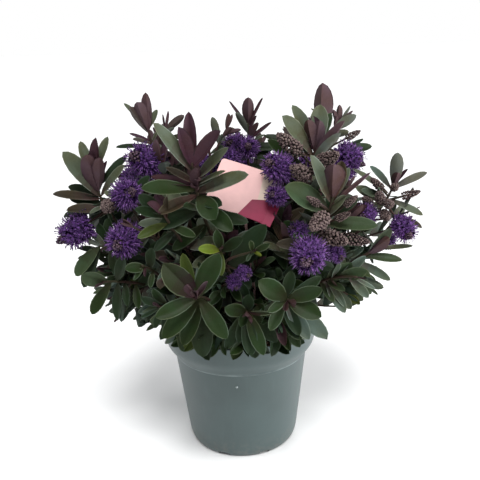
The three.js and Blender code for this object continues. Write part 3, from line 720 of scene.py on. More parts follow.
# The flower spikes of these shoots are set one by one too: kind, mm below the shoot's tip, the way from foot to tip in
# mm, and girth.
SET_SPIKES = {
    "left_crest": "open 34 -36 -20 -21 1.05, open 30 33 -44 22 0.92, bud 32 13 -46 12 1.2",
    "left_inner": "open 30 -11 -50 -5 1.02",
    "top_left": "open 46 -16 -28 18 1.15",
    "back_crest": "open 30 -16 -26 12 0.8, open 32 1 -30 10 0.75",
    "crown_heart": "open 30 25 10 25 0.8",
    "top_right": "open 30 38 -14 -14 0.95, bud 38 40 6 16 0.65",
    "right_inner": """
        bud 18 -27 -26 27 1.3, bud 30 -14 -34 16 1.4, bud 24 18 -30 20 1.3, bud 34 12 -24 26 1,
        open 34 -31 -36 25 0.92, open 50 -23 -44 18 0.62""",
    "right_front": """
        open 44 -17 -52 -9 1, bud 26 -15 -34 -2 1.25, bud 34 22 -8 22 0.6, bud 36 17 -14 10 0.6, bud 46 16 -26 0 1.3,
        bud 46 34 -16 -3 0.95, open 52 17 -22 -8 0.5, bud 24 -17 -14 12 0.6, open 50 -21 -10 11 0.55""",
    "far_right": """
        open 34 13 -40 -19 0.78, open 38 -23 -34 2 0.66, bud 32 27 -6 7 0.72, bud 28 -16 -12 18 0.75,
        bud 22 0 -20 9 0.7, bud 42 1 -34 3 0.9, bud 38 -9 -30 18 0.9, bud 36 -1 -34 9 0.8, bud 44 -16 -20 19 0.8""",
    "right_low": "open 34 38 10 19 0.55",
    "front_middle": "open 34 7 -16 -10 0.42, open 28 18 -14 -3 0.42",
}
# The flower spikes of the far side: kind, bearing and climb.
FAR_SPIKES = {
    "back_right_skirt": "open 40 30",
    "back_skirt_left": "open 80 20",
    "back_right": "open 20 10, open 90 15, bud 60 30",
    "back_middle": "open 70 5, open 140 20, bud 100 20",
    "back_left": "open 110 8, open 175 10, bud 140 30",
}
SPIKE_LONG = {"open": 48, "bud": 38}


def rows(table, name):
    """The rows of a shoot in a table: in each a word, then numbers."""
    texts = table[name].split(",") if name in table else ()
    return [(word, *map(float, numbers)) for word, *numbers in map(str.split, texts)]


def tone_of(rank, luck, high, far):
    """The tone of a leaf by its age, as pairs from the tip, and by whether its twig is high or far out to a side."""
    if high:
        if rank < 1 or (rank == 1 and luck < 0.72):
            return "maroon"
        if rank == 1 or (rank == 2 and luck < 0.4):
            return "bronze"
        return "sage" if luck < (0.8 if rank < 4 else 0.3) else "deep"
    if rank < 1 and luck < 0.2:
        return "plum"
    if rank < 2 and luck < 0.17:
        return "bronze"
    if luck > 0.98:
        return "olive"
    if luck < (0.85 if far else 0.2):
        return "slate" if luck < (0.5 if far else 0.1) else "moss"
    return "fresh" if luck < (0.75 if far else 0.5) else "deep"


HIGH, FAR_OUT = 198, 45  # mm
FRONT = unit(np.array([0, -0.956, 0.292]))
TRAITS = ("line", "share", "direction", "inward", "size", "bend", "breadth", "youth", "tone")
# Twigs are (line, share where the wood starts, radii in mm at its ends, share that it reaches at least), and spikes are
# (foot, direction, length in mm, kind, girth).
twig_lines, leaves, spikes = [], [], []


def add_leaf(chance, *traits):
    """Notes one leaf. Youth runs from 0, old, to 1, just unfolded; bend is the turn from foot to tip in radians."""
    leaves.append(dict(zip(TRAITS, traits), luck=chance(), twist=chance() - 0.5))


def turned_to(inward, direction, light):
    """The way a leaf's upper side faces, after it has turned to the light."""
    facing = inward + light
    return unit(facing - facing.dot(direction) * direction)


def leaf_pairs(line, lowest, pairs, full, first_turn, chance, spare, first_rank=0, keep=True):
    side, high, far = any_across(line.along(1)), line.at(1)[2] > HIGH, abs(line.at(1)[0]) > FAR_OUT
    for k, (below, angle, size) in enumerate(pairs, first_rank):
        share = max(lowest, 1 - below / line.length)
        along, root = line.along(share), line.at(share)
        side = squared(side, along)[0]
        turn = first_turn + k * pi / 2 + (chance() - 0.5) * 0.4
        for half in (0, pi):
            bent = radians(angle) * chance.near(0.2)
            length = full * size * chance.near(0.2)
            bow = 0.05 - 0.16 * chance() * min(1, max(0, k) / 2)
            if not keep:
                continue
            direction, inward = leaving(along, side, turn + half, bent)
            # Leaves bend back with age, and turn up, outwards and, on the near side, to the front.
            youth = min(1, max(0, (3 - k) / 4))
            bend = 2 * bow + 0.25 * youth - 0.2 * (k > 2)
            light = 0.35 * UP + 0.4 * root * (1, 1, 0) / 100 + (0.35 * FRONT if root[1] < 0 else 0)
            inward = turned_to(inward, direction, light * (1 - 0.7 * youth))
            breadth, tone = 0.8 + 0.3 * spare(), tone_of(k, spare(), high, far)
            add_leaf(spare, line, share, direction, inward, length, bend, breadth, youth, tone)


def side_shoot(line, share, direction, reach, full, count, turn, chance, spare, lift=0.4):
    along, root = line.along(share), line.at(share)
    curve = Line((root, root + direction * reach / 2, root + direction * reach + along * reach * lift), 12)
    twig_lines.append((curve, 0, 1.0, 0.7, 0))
    leaf_pairs(curve, 0.1, PAIRS[:count], full, turn, chance, spare)
    leaf_pairs(curve, 0.1, BUD_PAIRS, full * 0.8, turn, spare, spare, -2)


for name, (bearing, _, height, _, sides, leaf) in LEADERS.items():
    chance, spare, line = Chance(name), Chance(name + " finer"), LINES[name]
    full, ruled = FULL_LEAF * leaf, name not in SET_LEAVES
    lowest = BOUGH_SHARE + 3.3 / line.length
    outward = at_bearing(bearing, 1, 0)
    below_tip = lambda mm: max(lowest, 1 - mm / line.length)
    off = lambda share, turn, angle: leaving(line.along(share), outward, turn, radians(angle))[0]
    first_turn, first_leaf = chance() * pi, len(leaves)
    # Flower spikes, and the twig that carries the last of them:
    set_spikes = rows(SET_SPIKES, name)
    for kind, below, *way, girth in set_spikes:
        long = np.linalg.norm(way)
        spikes.append((line.at(1 - below / line.length), np.array(way) / long, long, kind, girth))
    for k, (kind, *way) in enumerate(rows(FAR_SPIKES, name)):
        spikes.append((line.at(below_tip(27 + 5 * k)), pointing(*way), SPIKE_LONG[kind], kind, 1.0))
    last_spike = max([0, *(1 - below / line.length for _, below, *_ in set_spikes)])
    twig_lines.append((line, BOUGH_SHARE, 1.5, 0.9, last_spike))
    # Leaves and side shoots that the solids have too:
    leaf_pairs(line, lowest, PAIRS[:5], full, first_turn, chance, spare, 0, ruled)
    if ruled:
        leaf_pairs(line, lowest, BUD_PAIRS, full, first_turn, spare, spare, -2)
    side_turn = chance() * pi
    for i in range(sides):
        share, turn = below_tip(42 + 12 * i), side_turn + pi * i + (chance() - 0.5) * 0.8
        side_shoot(line, share, off(share, turn, 50), 38 * chance.near(0.3), full * 0.92, 3, turn, chance, spare)
    # The rest is finer than the solids are. Leaves go on down the twig,
    room = [p for p in (PAIRS[5], *LOWER) if p[0] < line.length * (1 - BOUGH_SHARE)]
    leaf_pairs(line, lowest, room, full * 0.95, first_turn, spare, spare, 5)
    # small side shoots stand between the large ones,
    for i in range(3):
        share, turn = below_tip(40 + 13 * i), side_turn + pi / 2 + pi * i + (spare() - 0.5)
        side_shoot(line, share, off(share, turn, 46), 26 * spare.near(0.3), full * 0.72, 4, turn, spare, spare)
    # tufts grow in the axils,
    for i in range(4):
        share, turn = below_tip(28 + 10 * i), first_turn + i * pi / 2
        side_shoot(line, share, off(share, turn, 42), 7, full * 0.36, 2, turn, spare, spare)
    # leafy twigs fill the shade round the bough,
    for i in range(6):
        share, turn = 0.18 + 0.08 * i, first_turn + 2.4 * i
        way = unit(off(share, turn, 60) + (0.5 if height > LOW else 0.1) * UP)
        side_shoot(line, share, way, 30 * spare.near(0.3), full * 0.86, 5, turn, spare, spare)
    # and low shoots hang a few twigs over the rim.
    if height < LOW:
        for i in range(3):
            way = unit(0.7 * outward - UP + 0.9 * (spare() - 0.5) * np.cross(UP, outward))
            reach = 20 * spare.near(0.3)
            side_shoot(line, below_tip(26 + 16 * i), way, reach, full * 0.8, 4, side_turn, spare, spare, 0.3)
    # Where leaves are set one by one, the others stay 8 mm below the shoot's tip.
    for leaf in leaves[first_leaf:]:
        leaf.update(set=False, under=np.inf if ruled else line.at(1)[2] - 8)

AGES = {"maroon": 0.8, "bronze": 0.5, "plum": 1.0, "rose": 0.9, "flushed": 0.3}
for name in SET_LEAVES:
    line, spare = SPRIGS.get(name) or LINES[name], Chance(name + " set")
    if name in SPRIGS:
        twig_lines.append((line, 0, 1.1, 0.8, 0))
    for tone, below, *way, breadth in rows(SET_LEAVES, name):
        share, size = 1 - below / line.length, np.linalg.norm(way)
        direction, along, root = np.array(way) / size, line.along(share), line.at(share)
        inward = along - along.dot(direction) * direction + 0.15 * (root - line.at(share - 0.1)) / size
        inward = unit(inward - inward.dot(direction) * direction)
        # A set leaf shows its upper side to the front, or its back where it leans well away.
        shown = 1.4 * breadth if FRONT.dot(inward) > -0.25 else -1.4 * breadth
        inward, youth = turned_to(inward, direction, shown * FRONT), AGES.get(tone, 0)
        bend = 0.32 * youth - 0.3 * (1 - youth) * spare()
        add_leaf(spare, line, share, direction, inward, size, bend, 0.9 * breadth, youth, tone)
        leaves[-1].update(set=True, under=np.inf)


# ---- Leaves ----
# Leathery evergreen leaves, mostly 15 to 45 mm long: an obovate blade with a blunt tip, a sunken midrib, a thin pale
# edge and a paler back. They sit straight on the twig. Young ones are maroon, old ones sage or deep green.
ROWS = np.array([0.08, 0.2, 0.36, 0.54, 0.7, 0.84, 0.94])
BROAD = np.array([0.33, 0.59, 0.87, 1.0, 0.98, 0.77, 0.46])  # half widths of an old leaf
OVAL = np.array([0.36, 0.66, 0.92, 1.0, 0.94, 0.74, 0.45])  # and of a young one
ACROSS = np.array([-1, -1, -0.5, 0, 0.5, 1, 1, 0])  # left edge, rim, middle, midrib, middle, rim, edge, keel below
RIM = np.array([0, 1, 0, 0, 0, 1, 0, 0])
COLUMNS = len(ACROSS)
LAST = 1 + len(ROWS) * COLUMNS
OLD_HALF, YOUNG_LESS, RIM_WIDE, THICK = 0.188, 0.03, 0.0006, 0.0003


def leaf_faces(flush):
    """Faces of one leaf and their paint: 0 blade, 1 base, 2 edge, 3 back, 4 and 5 where base and blade blend."""
    at = lambda row, column: 1 + row * COLUMNS + column
    faces, slots, end = [], [], len(ROWS) - 1
    for c in range(COLUMNS - 2):
        rim = c in (0, COLUMNS - 3)
        faces.append((0, at(0, c), at(0, c + 1)))
        slots.append(1)
        for r in range(end):
            faces.append((at(r, c), at(r + 1, c), at(r + 1, c + 1), at(r, c + 1)))
            past = r - flush[c]
            slots.append(1 if past < 0 else 2 if rim else 4 + past if past < 2 else 0)
        faces.append((LAST, at(end, c + 1), at(end, c)))
        slots.append(2 if rim else 0)
    for left, right in ((0, COLUMNS - 1), (COLUMNS - 1, COLUMNS - 2)):
        faces.append((0, at(0, right), at(0, left)))
        for r in range(end):
            faces.append((at(r, left), at(r, right), at(r + 1, right), at(r + 1, left)))
        faces.append((LAST, at(end, left), at(end, right)))
        slots.extend([3] * (end + 2))
    return faces, slots


def leaf_points(batch):
    """Corners of a batch of leaves, in metres. Each leaf bends evenly about the straight line from foot to tip."""
    column = lambda key: np.array([one[key] for one in batch], float)
    root = np.array([one["line"].at(one["share"]) for one in batch]) * MM
    along, up = unit(column("direction")), column("inward")
    size, bend, youth = column("size") * MM, column("bend"), column("youth")[:, None]
    side = np.cross(up, along)
    share = np.concatenate([[0], np.repeat(ROWS, COLUMNS), [1]])
    spread = lambda marks: np.concatenate([[0], np.tile(marks, len(ROWS)), [0]])
    wide = lambda values: np.concatenate([[0], np.repeat(values, COLUMNS), [0]])
    where, midrib, keel = spread(ACROSS), spread(ACROSS == 0), spread(np.arange(COLUMNS) == COLUMNS - 1)
    form = youth * wide(OVAL) + (1 - youth) * wide(BROAD)
    half = form * (size * column("breadth"))[:, None] * (OLD_HALF - YOUNG_LESS * youth)
    across = where * np.maximum(half - spread(RIM) * RIM_WIDE, half * 0.4)
    u = np.abs(across) / np.maximum(half, 1e-6)
    wave = 0.06 * np.sin(7 * share + 9 * column("luck")[:, None]) * half * where
    lift = ((0.38 + 0.08 * youth) * u + (0.5 * youth - 0.12) * u * u) * half + wave
    lift = lift - midrib * 0.1 * half - keel * (0.1 * half + THICK)
    bend = np.where(np.abs(bend) < 1e-3, 1e-3, bend)[:, None]
    angle = bend * (share - 0.5)
    forward = size[:, None] * (np.sin(angle) + np.sin(bend / 2)) / bend
    rise = size[:, None] * (np.cos(bend / 2) - np.cos(angle)) / bend
    twist = (column("twist") * 0.5)[:, None] * share
    up_here = up[:, None] * np.cos(angle)[..., None] - along[:, None] * np.sin(angle)[..., None]
    side_here = side[:, None] * np.cos(twist)[..., None] + up_here * np.sin(twist)[..., None]
    points = root[:, None] + along[:, None] * forward[..., None] + up[:, None] * rise[..., None]
    return points + side_here * across[..., None] + up_here * lift[..., None]


# Each tone: blade, flushed base, edge and back as plain colours, and how rough it is.
TONES = {
    "maroon": ((0.053, 0.025, 0.034), (0.05, 0.019, 0.027), (0.034, 0.017, 0.022), (0.066, 0.037, 0.042), 0.5),
    "bronze": ((0.046, 0.037, 0.026), (0.07, 0.036, 0.03), (0.095, 0.084, 0.062), (0.058, 0.042, 0.036), 0.5),
    "sage": ((0.07, 0.082, 0.051), (0.055, 0.038, 0.03), (0.13, 0.145, 0.11), (0.098, 0.108, 0.086), 0.5),
    "slate": ((0.052, 0.072, 0.052), (0.05, 0.04, 0.034), (0.105, 0.13, 0.1), (0.07, 0.09, 0.068), 0.5),
    "ash": ((0.125, 0.13, 0.112), (0.08, 0.07, 0.06), (0.16, 0.17, 0.14), (0.12, 0.13, 0.11), 0.5),
    "deep": ((0.0112, 0.0215, 0.0082), (0.015, 0.019, 0.01), (0.031, 0.047, 0.029), (0.024, 0.04, 0.026), 0.45),
    "fresh": ((0.0145, 0.028, 0.008), (0.021, 0.024, 0.01), (0.06, 0.08, 0.048), (0.032, 0.048, 0.024), 0.45),
    "moss": ((0.034, 0.053, 0.024), (0.03, 0.034, 0.017), (0.07, 0.09, 0.05), (0.048, 0.066, 0.036), 0.45),
    "olive": ((0.034, 0.05, 0.009), (0.04, 0.046, 0.014), (0.07, 0.09, 0.03), (0.05, 0.066, 0.02), 0.45),
    "lime": ((0.08, 0.115, 0.008), (0.08, 0.1, 0.014), (0.11, 0.14, 0.02), (0.1, 0.13, 0.02), 0.42),
    "plum": ((0.03, 0.015, 0.019), (0.05, 0.025, 0.027), (0.055, 0.032, 0.035), (0.045, 0.024, 0.027), 0.45),
    "rose": ((0.08, 0.044, 0.05), (0.09, 0.045, 0.048), (0.11, 0.07, 0.074), (0.09, 0.052, 0.056), 0.5),
    "flushed": ((0.0195, 0.026, 0.0096), (0.024, 0.012, 0.012), (0.075, 0.09, 0.05), (0.045, 0.031, 0.025), 0.45),
}
FLUSH = {"flushed": (3, 2, 2, 1, 1, 1)}  # rows of each strip that are flushed at the leaf's foot


def leaf_paint(name, colour, roughness):
    """A leaf's skin: patches that lean to yellow where darker and to blue where paler, with fine pale flecks."""
    paint = Paint(name, roughness, 0.1)
    patch, fleck = paint.grain(0.02, 3), paint.grain(0.0014, 2)
    warm, cool = ([part * f for part, f in zip(colour, lean)] for lean in ((0.88, 0.8, 0.62), (1.12, 1.2, 1.36)))
    tint = paint.between(patch.over(0.32, 0.68), warm, cool)
    paint.coloured(fleck.over(0.5, 0.8) * 0.3, tint, [part * 1.5 for part in colour])
    paint.relief(fleck, 0.00012)
    return paint


# Leaves are left out where they would cross the pot's wall, leave the shrub's own space, hang too far down beside the
# pot, or stand inside a flower spike. Between the front shoots' set leaves the rest keep to the shade behind them, and
# bays in the crown stay open to the sky. Each bay, as seen from the front: x and height in mm, and how far it reaches.
BAYS = (
    (52, 300, 10), (35, 292, 8), (-16, 299, 12), (-23, 282, 7), (-29, 301, 7), (-87, 279, 8), (-92, 264, 5),
    (145, 248, 8), (126, 247, 5), (162, 205, 7), (-139, 128, 11), (-128, 108, 14), (-76, 97, 5), (148, 140, 9),
    (139, 115, 9), (-86, 245, 3), (-65, 81, 3), (30, 294, 7), (123, 262, 10), (-99, 263, 4), (87, 106, 7),
    (102, 106, 9), (116, 117, 8), (-117, 167, 3), (-124, 163, 3), (-131, 158, 3), (99, 95, 10), (80, 109, 9),
)
SPIKE_CLEAR, SET_CLEAR, BOX_ROOM, LEAST_KEPT = {"open": 9, "bud": 6}, 0.0045, 0.008, 0.4
WALL_TOP, WALL_INSIDE, WALL_OUTSIDE = 0.113, 0.055, 0.0685
MIDRIB = [1 + COLUMNS * row + 3 for row in (1, 3, 5)]
every = leaf_points(leaves)
chosen, under = (np.array([leaf[key] for leaf in leaves]) for key in ("set", "under"))
middle, tips = every[:, [*MIDRIB, LAST]], every[:, LAST] / MM


def before(place, clear):
    """Which leaves stand in front of a place or within reach of it."""
    away = middle - place
    ahead = away @ FRONT
    beside = np.linalg.norm(away - ahead[..., None] * FRONT, axis=2)
    return (((beside < clear) & (ahead > 0)) | (np.linalg.norm(away, axis=2) < clear)).any(axis=1)


low, high = (np.array(c) for c in cad_box)
fits = ((every > low - BOX_ROOM) & (every < high + BOX_ROOM)).all(axis=(1, 2))
reach = np.hypot(every[..., 0], every[..., 1])
fits &= ~((every[..., 2] < WALL_TOP) & (reach > WALL_INSIDE) & (reach < WALL_OUTSIDE)).any(axis=1)
out = np.hypot(tips[:, 0], tips[:, 1])
# A tip may hang down to 104 mm, and less far the further out it is.
hang = 104 + 0.6 * np.maximum(0, out - 75) + 1.2 * np.maximum(0, out - 125)
free = (tips[:, 2] < under) & (tips[:, 2] > hang)
for root, way, long, kind, girth in spikes:
    for share in (0.6, 0.85):
        free &= ~before((root + way * long * share) * MM, SPIKE_CLEAR[kind] * girth * MM)
for place in every[chosen][:, [0, *MIDRIB]].reshape(-1, 3):
    free &= ~before(place, SET_CLEAR)
for x, z, clear in BAYS:
    ray = unit(np.array([x, 0, z]) * MM - SEEN_FROM)
    free &= ~(np.linalg.norm(np.cross(middle - SEEN_FROM, ray), axis=2) < clear * MM).any(axis=1)
fits &= free | chosen
# A side shoot that has lost most of its leaves goes too.
for line, start, *_ in twig_lines:
    mine = [i for i, leaf in enumerate(leaves) if leaf["line"] is line]
    if start == 0 and mine and fits[mine].mean() < LEAST_KEPT:
        fits[mine] = False
every, leaves = every[fits], [leaf for leaf, good in zip(leaves, fits) if good]
tones = np.array([leaf["tone"] for leaf in leaves])
SHOOT_NODES = [f"shoots_{n}" for n in LINES]
for tone, (blade, base, edge, back, roughness) in TONES.items():
    faces, slots = leaf_faces(FLUSH.get(tone, (1,) * 6))
    piece = copies_of(f"leaves_{tone}", every[tones == tone], faces, slots)
    first, second = ([a + (b - a) * share for a, b in zip(base, blade)] for share in (0.35, 0.7))
    parts = {"blade": blade, "base": base, "edge": edge, "back": back, "blend_1": first, "blend_2": second}
    paints = [leaf_paint(f"leaf_{tone}_{part}", colour, roughness) for part, colour in parts.items()]
    finish_piece(piece, paints, "foliage", *SHOOT_NODES, crease=60)


# ---- Twigs ----
# This year's and last year's shoots: slender, round and smooth, green flushed with red-brown, swollen a little at each
# pair of leaves.
def tube(points, radii, sides):
    """Corners and faces of a round limb with closed ends, along points."""
    points = np.asarray(points)
    along = unit(np.gradient(points, axis=0))
    across, corners = any_across(along[0]), []
    turns = np.arange(sides) * 2 * pi / sides
    for p, a, r in zip(points, along, radii):
        across, over = squared(across, a)
        corners.append(p + r * (np.cos(turns)[:, None] * across + np.sin(turns)[:, None] * over))
    corners = np.concatenate([*corners, points[:1], points[-1:] + along[-1:] * radii[-1]])
    foot_at = len(points) * sides
    faces = []
    for first in range(0, foot_at - sides, sides):
        for k in range(sides):
            a, b = first + k, first + (k + 1) % sides
            faces.append((a, b, b + sides, a + sides))
    for k in range(sides):
        n, top = (k + 1) % sides, foot_at - sides
        faces += [(foot_at, n, k), (foot_at + 1, top + k, top + n)]
    return corners, faces


def several(forms):
    """One form from unlike ones, each with its points and faces."""
    points, faces, first = [], [], 0
    for form_points, form_faces, *_ in forms:
        points.append(form_points)
        faces += [tuple(first + c for c in face) for face in form_faces]
        first += len(form_points)
    return np.concatenate(points), faces


limbs = []
for line, start, thick, thin, top in twig_lines:
    top = max([top] + [leaf["share"] for leaf in leaves if leaf["line"] is line])
    if top <= start:
        continue
    steps = max(5, int(line.length * (top - start) / 3))
    shares = np.linspace(start, min(1, top + 0.01), steps + 1)
    swell = 1 + 0.14 * (np.arange(steps + 1) % 3 == 0)
    limbs.append(tube([line.at(s) * MM for s in shares], np.linspace(thick, thin, steps + 1) * swell * MM, 7))
stem = Paint("green_stem", 0.55, 0.15)
stem.coloured(stem.grain(0.009, 3).over(0.35, 0.65), (0.03, 0.03, 0.015), (0.042, 0.021, 0.018))
stem.relief(stem.grain(0.001, 2, (1, 1, 0.3)), 0.0001)
finish_piece(made_of("twigs", *several(limbs)), [stem], "bark", *SHOOT_NODES, crease=180)


# ---- Flower spikes ----
# Dense racemes on bare stalks. Open florets are violet, each a short tube with four spread lobes, two long stamens and
# a style. They open from the foot of the spike up, so its tip is still in bud; young spikes are all bud.
PLUMP, STRAIGHT = ((0.25, 0.8), (0.62, 1)), ((0.04, 1), (0.96, 1))


def pod(length, thick, sides, rings=PLUMP):
    """A closed form along +Z through two rings, each a share of the length and of the thickness, in mm."""
    points = [[0, 0, 0]]
    for share, wide in rings:
        turns = [2 * pi * k / sides for k in range(sides)]
        points += [[thick * wide * cos(turn), thick * wide * sin(turn), length * share] for turn in turns]
    points.append([0, 0, length])
    faces = [(0, 1 + (k + 1) % sides, 1 + k) for k in range(sides)]
    faces += [(1 + k, 1 + (k + 1) % sides, 1 + sides + (k + 1) % sides, 1 + sides + k) for k in range(sides)]
    faces += [(2 * sides + 1, 1 + sides + k, 1 + sides + (k + 1) % sides) for k in range(sides)]
    return np.array(points), faces, [0] * (2 * sides) + [1] * sides


def petal(turn):
    """One lobe of the flower, a thin pointed blade that spreads outwards, in mm."""
    c, s = cos(turn), sin(turn)
    flat = [(0.9, 0, 6.0), (2.4, -1.25, 7.2), (2.4, 1.25, 7.2), (4.1, 0, 7.5), (2.4, 0, 6.75)]
    points = np.array([(x * c - y * s, x * s + y * c, z) for x, y, z in flat])
    return points, [(0, 1, 2), (1, 3, 2), (0, 4, 1), (0, 2, 4), (1, 4, 3), (4, 2, 3)]


def laid(form, direction, start):
    """A form that stands along +Z, laid along a direction from a start."""
    turn = np.array(Vector((0, 0, 1)).rotation_difference(Vector(direction)).to_matrix())
    return form[0] @ turn.T + start, form[1]


lobes = several([*(petal(pi / 2 * k) for k in range(4)), pod(6.4, 0.95, 4, STRAIGHT)])
lean_out = unit(np.array([[0.42, 0.1, 1.0], [-0.42, 0.1, 1.0], [0, -0.1, 1.0]]))
in_throat = np.array([0, 0, 3])
filaments = several(
    laid(pod(long, 0.26, 3, STRAIGHT), way, way * 3 + in_throat) for long, way in zip((4.8, 4.8, 3.8), lean_out)
)
anthers = several(laid(pod(1.5, 0.5, 3), way, way * 7.4 + in_throat) for way in lean_out[:2])
GOLDEN, LOOSE = radians(137.508), 0.7
HEAD_MM = {"open": 25, "bud": 21}  # from the lowest floret to the tip of a spike of girth 1
OPEN_TO, TIP_FROM = 0.66, 0.6  # shares of an open head


def spiral(stalk_line, shares, core, tilts, sizes, chance):
    """Roots, axes, turns and sizes of what grows in a spiral round a stalk."""
    root, way, long, sag = stalk_line
    first, second = squared(any_across(way), way)
    turn = np.arange(len(shares)) * GOLDEN + chance() * 6
    radial = np.cos(turn)[:, None] * first + np.sin(turn)[:, None] * second
    jitter = np.array([[chance() - 0.5 for _ in range(3)] for _ in shares])
    axes = way * np.cos(tilts)[:, None] + radial * np.sin(tilts)[:, None] + jitter * LOOSE
    roots = root + way * (long * shares)[:, None] + sag * (shares**2)[:, None]
    return roots + radial * np.asarray(core)[..., None], unit(axes), np.array([chance() * 6.28 for _ in shares]), sizes


grown, stalks = {"open": [], "tip": [], "bud": []}, []
for i, (root, way, long, kind, girth) in enumerate(spikes):
    chance = Chance(f"spike {i}")
    sag = (np.array([chance(), chance(), chance()]) - 0.5) * 4
    stalk = [(root + way * long * s + sag * s * s) * MM for s in np.linspace(0, 0.97, 10)]
    stalks.append(tube(stalk, np.linspace(1.1, 0.7, 10) * MM, 6))
    foot_share = max(0.12, 1 - HEAD_MM[kind] * girth / long)

    def grow(part, t, tilts, core, sizes):
        """Sets florets or buds at shares t of the head, leaning from the first tilt to the last."""
        shares, tilts = foot_share + (1 - foot_share) * t, np.radians(np.linspace(*tilts, len(t)))
        grown[part].append(spiral((root, way, long, sag), shares, core, tilts, girth * sizes, chance))

    if kind == "open":
        t = np.linspace(0, OPEN_TO, 90)
        grow("open", t, (96, 60), 0.6 * t / t.max(), np.interp(t, (0, 0.2, 0.5, OPEN_TO), (1.05, 1.3, 1.22, 0.9)))
        t = np.linspace(TIP_FROM, 1, 40)
        dome = 2.6 * girth * np.sqrt(1.0001 - ((t - TIP_FROM) / 0.4) ** 2)
        grow("tip", t, (62, 4), dome, np.linspace(1.35, 0.8, 40))
    else:
        t = np.linspace(0, 1, 120) ** 0.94
        dome = 2.9 * girth * np.sqrt(1.0001 - t**2.6) * np.interp(t, (0, 0.15), (0.75, 1))
        grow("bud", t, (84, 2), dome, np.interp(t, (0, 0.3, 0.7, 1), (0.95, 1.05, 0.92, 0.6)))

# Each skin: its dark and light colour, roughness and the size of its patches.
SKINS = {
    "violet_petal": ((0.022, 0.008, 0.046), (0.12, 0.046, 0.21), 0.55, 0.0025),
    "lilac_filament": ((0.065, 0.024, 0.12), (0.27, 0.125, 0.38), 0.55, 0.0025),
    "dark_anther": ((0.03, 0.015, 0.05), (0.09, 0.05, 0.13), 0.55, 0.0025),
    "wine_calyx": ((0.035, 0.032, 0.022), (0.075, 0.045, 0.04), 0.6, 0.0025),
    "tip_bud_skin": ((0.022, 0.013, 0.026), (0.055, 0.03, 0.042), 0.6, 0.0025),
    "tip_bud_end": ((0.045, 0.024, 0.05), (0.13, 0.08, 0.1), 0.6, 0.0025),
    "bud_skin": ((0.015, 0.009, 0.011), (0.05, 0.028, 0.029), 0.6, 0.0014),
    "bud_end": ((0.05, 0.028, 0.032), (0.21, 0.155, 0.138), 0.6, 0.0014),
}


def skin_paint(name):
    dark, light, roughness, patch = SKINS[name]
    return mottled(name, roughness, 0.2, (patch, 2), (0.4, 0.62), dark, light)


bud = pod(2.7, 1.0, 5)
for name, kind, form, *skins in (
    ("flower_lobes", "open", lobes, "violet_petal"),
    ("flower_filaments", "open", filaments, "lilac_filament"),
    ("flower_anthers", "open", anthers, "dark_anther"),
    ("flower_calyces", "open", pod(4.2, 0.95, 4)[:2], "wine_calyx"),
    ("flower_tip_buds", "tip", bud, "tip_bud_skin", "tip_bud_end"),
    ("flower_buds", "bud", bud, "bud_skin", "bud_end"),
):
    roots, axes, turns, sizes = (np.concatenate(column) for column in zip(*grown[kind]))
    piece = copies_of(name, posed(form[0] * MM, roots * MM, axes, turns, sizes), *form[1:])
    finish_piece(piece, map(skin_paint, skins), "foliage", crease=180 if form is bud else 0)
finish_piece(made_of("flower_stalks", *several(stalks)), [stem], "bark", crease=180)


# ---- Plant label ----
# A printed plastic card on a thin stake pushed into the mix, with a smaller card behind it. It is plain pale pink, with
# a crimson corner below, and leans back among the shoots.
CARD_WIDE, CARD_THICK, CARD_HIGH, CARD_CORNER, CARD_STRIPS = 47, 0.7, 41, 2.4, 12
lean_back, tip_right = Matrix.Rotation(radians(-38), 4, "X"), Matrix.Rotation(radians(22), 4, "Y")
CARD_PLACE = Matrix.Translation((0.005, -0.044, 0.235)) @ lean_back @ tip_right
card = block("label_card", (CARD_WIDE, CARD_THICK, CARD_HIGH))
bpy.ops.object.mode_set(mode="EDIT")
bpy.ops.mesh.select_mode(type="EDGE")
bpy.ops.mesh.select_all(action="DESELECT")
bpy.ops.object.mode_set(mode="OBJECT")
for edge in card.data.edges:
    a, b = (card.data.vertices[v].co for v in edge.vertices)
    edge.select = abs(a.y - b.y) > 1e-5
bpy.ops.object.mode_set(mode="EDIT")
bpy.ops.mesh.bevel(offset=CARD_CORNER * MM, segments=6)
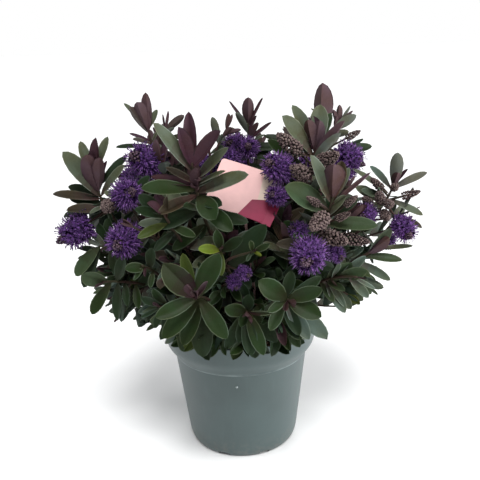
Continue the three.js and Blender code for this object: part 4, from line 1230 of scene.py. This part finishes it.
# The pale print ends on two slanting lines; below them the card is crimson. Each line: a point and the way past it.
PRINT_ENDS = (
    (Vector((0.0102, 0, -0.0052)), Vector((12.9, 0, -5.4)).normalized()),
    (Vector((0.0102, 0, -0.0052)), Vector((4.2, 0, -12.9)).normalized()),
)
CREAM_AT, CREAM_WAY = Vector((0.0135, 0, 0.003)), Vector((1, 0, 0.1)).normalized()
strips = [(((i / CARD_STRIPS - 0.5) * CARD_WIDE * MM, 0, 0), (1, 0, 0)) for i in range(1, CARD_STRIPS)]
for point, way in (*strips, *PRINT_ENDS, (CREAM_AT, CREAM_WAY)):
    bpy.ops.mesh.select_all(action="SELECT")
    bpy.ops.mesh.bisect(plane_co=point, plane_no=way)
bpy.ops.object.mode_set(mode="OBJECT")


def card_paint_with_painted_shade(name, low, high):
    """Smooth printed plastic with painted light and shade, from the first colour at its lower edge to the second at its
    top, with faint blotches.
    """
    paint = Paint(name, 0.5, 0.16)
    share = (paint.height().over(0.216, 0.25) + (paint.grain(0.007, 3) - 0.5) * 0.5).over(0, 1)
    paint.coloured(share, low, high)
    paint.relief(paint.grain(0.0012, 2), 0.00003)
    return paint


# Painted light and shade: the pink and the cream are painted paler at the card's top and shaded towards its foot, and
# the crimson is painted with shade towards its top, under the edge of the print.
card_pink = card_paint_with_painted_shade("label_pink", (0.5, 0.31, 0.3), (0.82, 0.5, 0.48))
card_cream = card_paint_with_painted_shade("label_cream", (0.42, 0.33, 0.27), (0.75, 0.6, 0.5))
card_crimson = card_paint_with_painted_shade("label_crimson", (0.235, 0.018, 0.055), (0.06, 0.004, 0.014))
for face in card.data.polygons:
    past = [(face.center - point).dot(way) > 0 for point, way in PRINT_ENDS]
    on_edge = abs(face.normal.y) < 0.5
    creamy = (face.center - CREAM_AT).dot(CREAM_WAY) > 0
    face.material_index = 2 if on_edge or all(past) else 1 if creamy else 0
shape_with(card, "SIMPLE_DEFORM", deform_method="BEND", deform_axis="Z", angle=radians(10))
put(card, CARD_PLACE)
finish_piece(card, [card_pink, card_cream, card_crimson], "label", "plant_label")

behind_corner = CARD_PLACE @ Matrix.Translation((0.0175, 0.0012, -0.0112)) @ Matrix.Rotation(0.08, 4, "Y")
head, foot_point = Vector((0.005, -0.0432, 0.232)), Vector((0.0175, -0.046, 0.0983))
up_stake = (head - foot_point).to_track_quat("Z", "X").to_matrix().to_4x4() @ Matrix.Rotation(pi / 2, 4, "Z")
stake_place, stake_long = Matrix.Translation((head + foot_point) / 2) @ up_stake, (head - foot_point).length / MM
for name, size_mm, edge_mm, place, paint in (
    ("label_backing", (27, 0.5, 18.5), 0.2, behind_corner, card_crimson),
    ("label_stake", (5, 1.2, stake_long), 0.35, stake_place, card_pink),
):
    strip = block(name, size_mm)
    shape_with(strip, "BEVEL", width=edge_mm * MM, segments=2)
    put(strip, place)
    finish_piece(strip, [paint], "label", "plant_label")
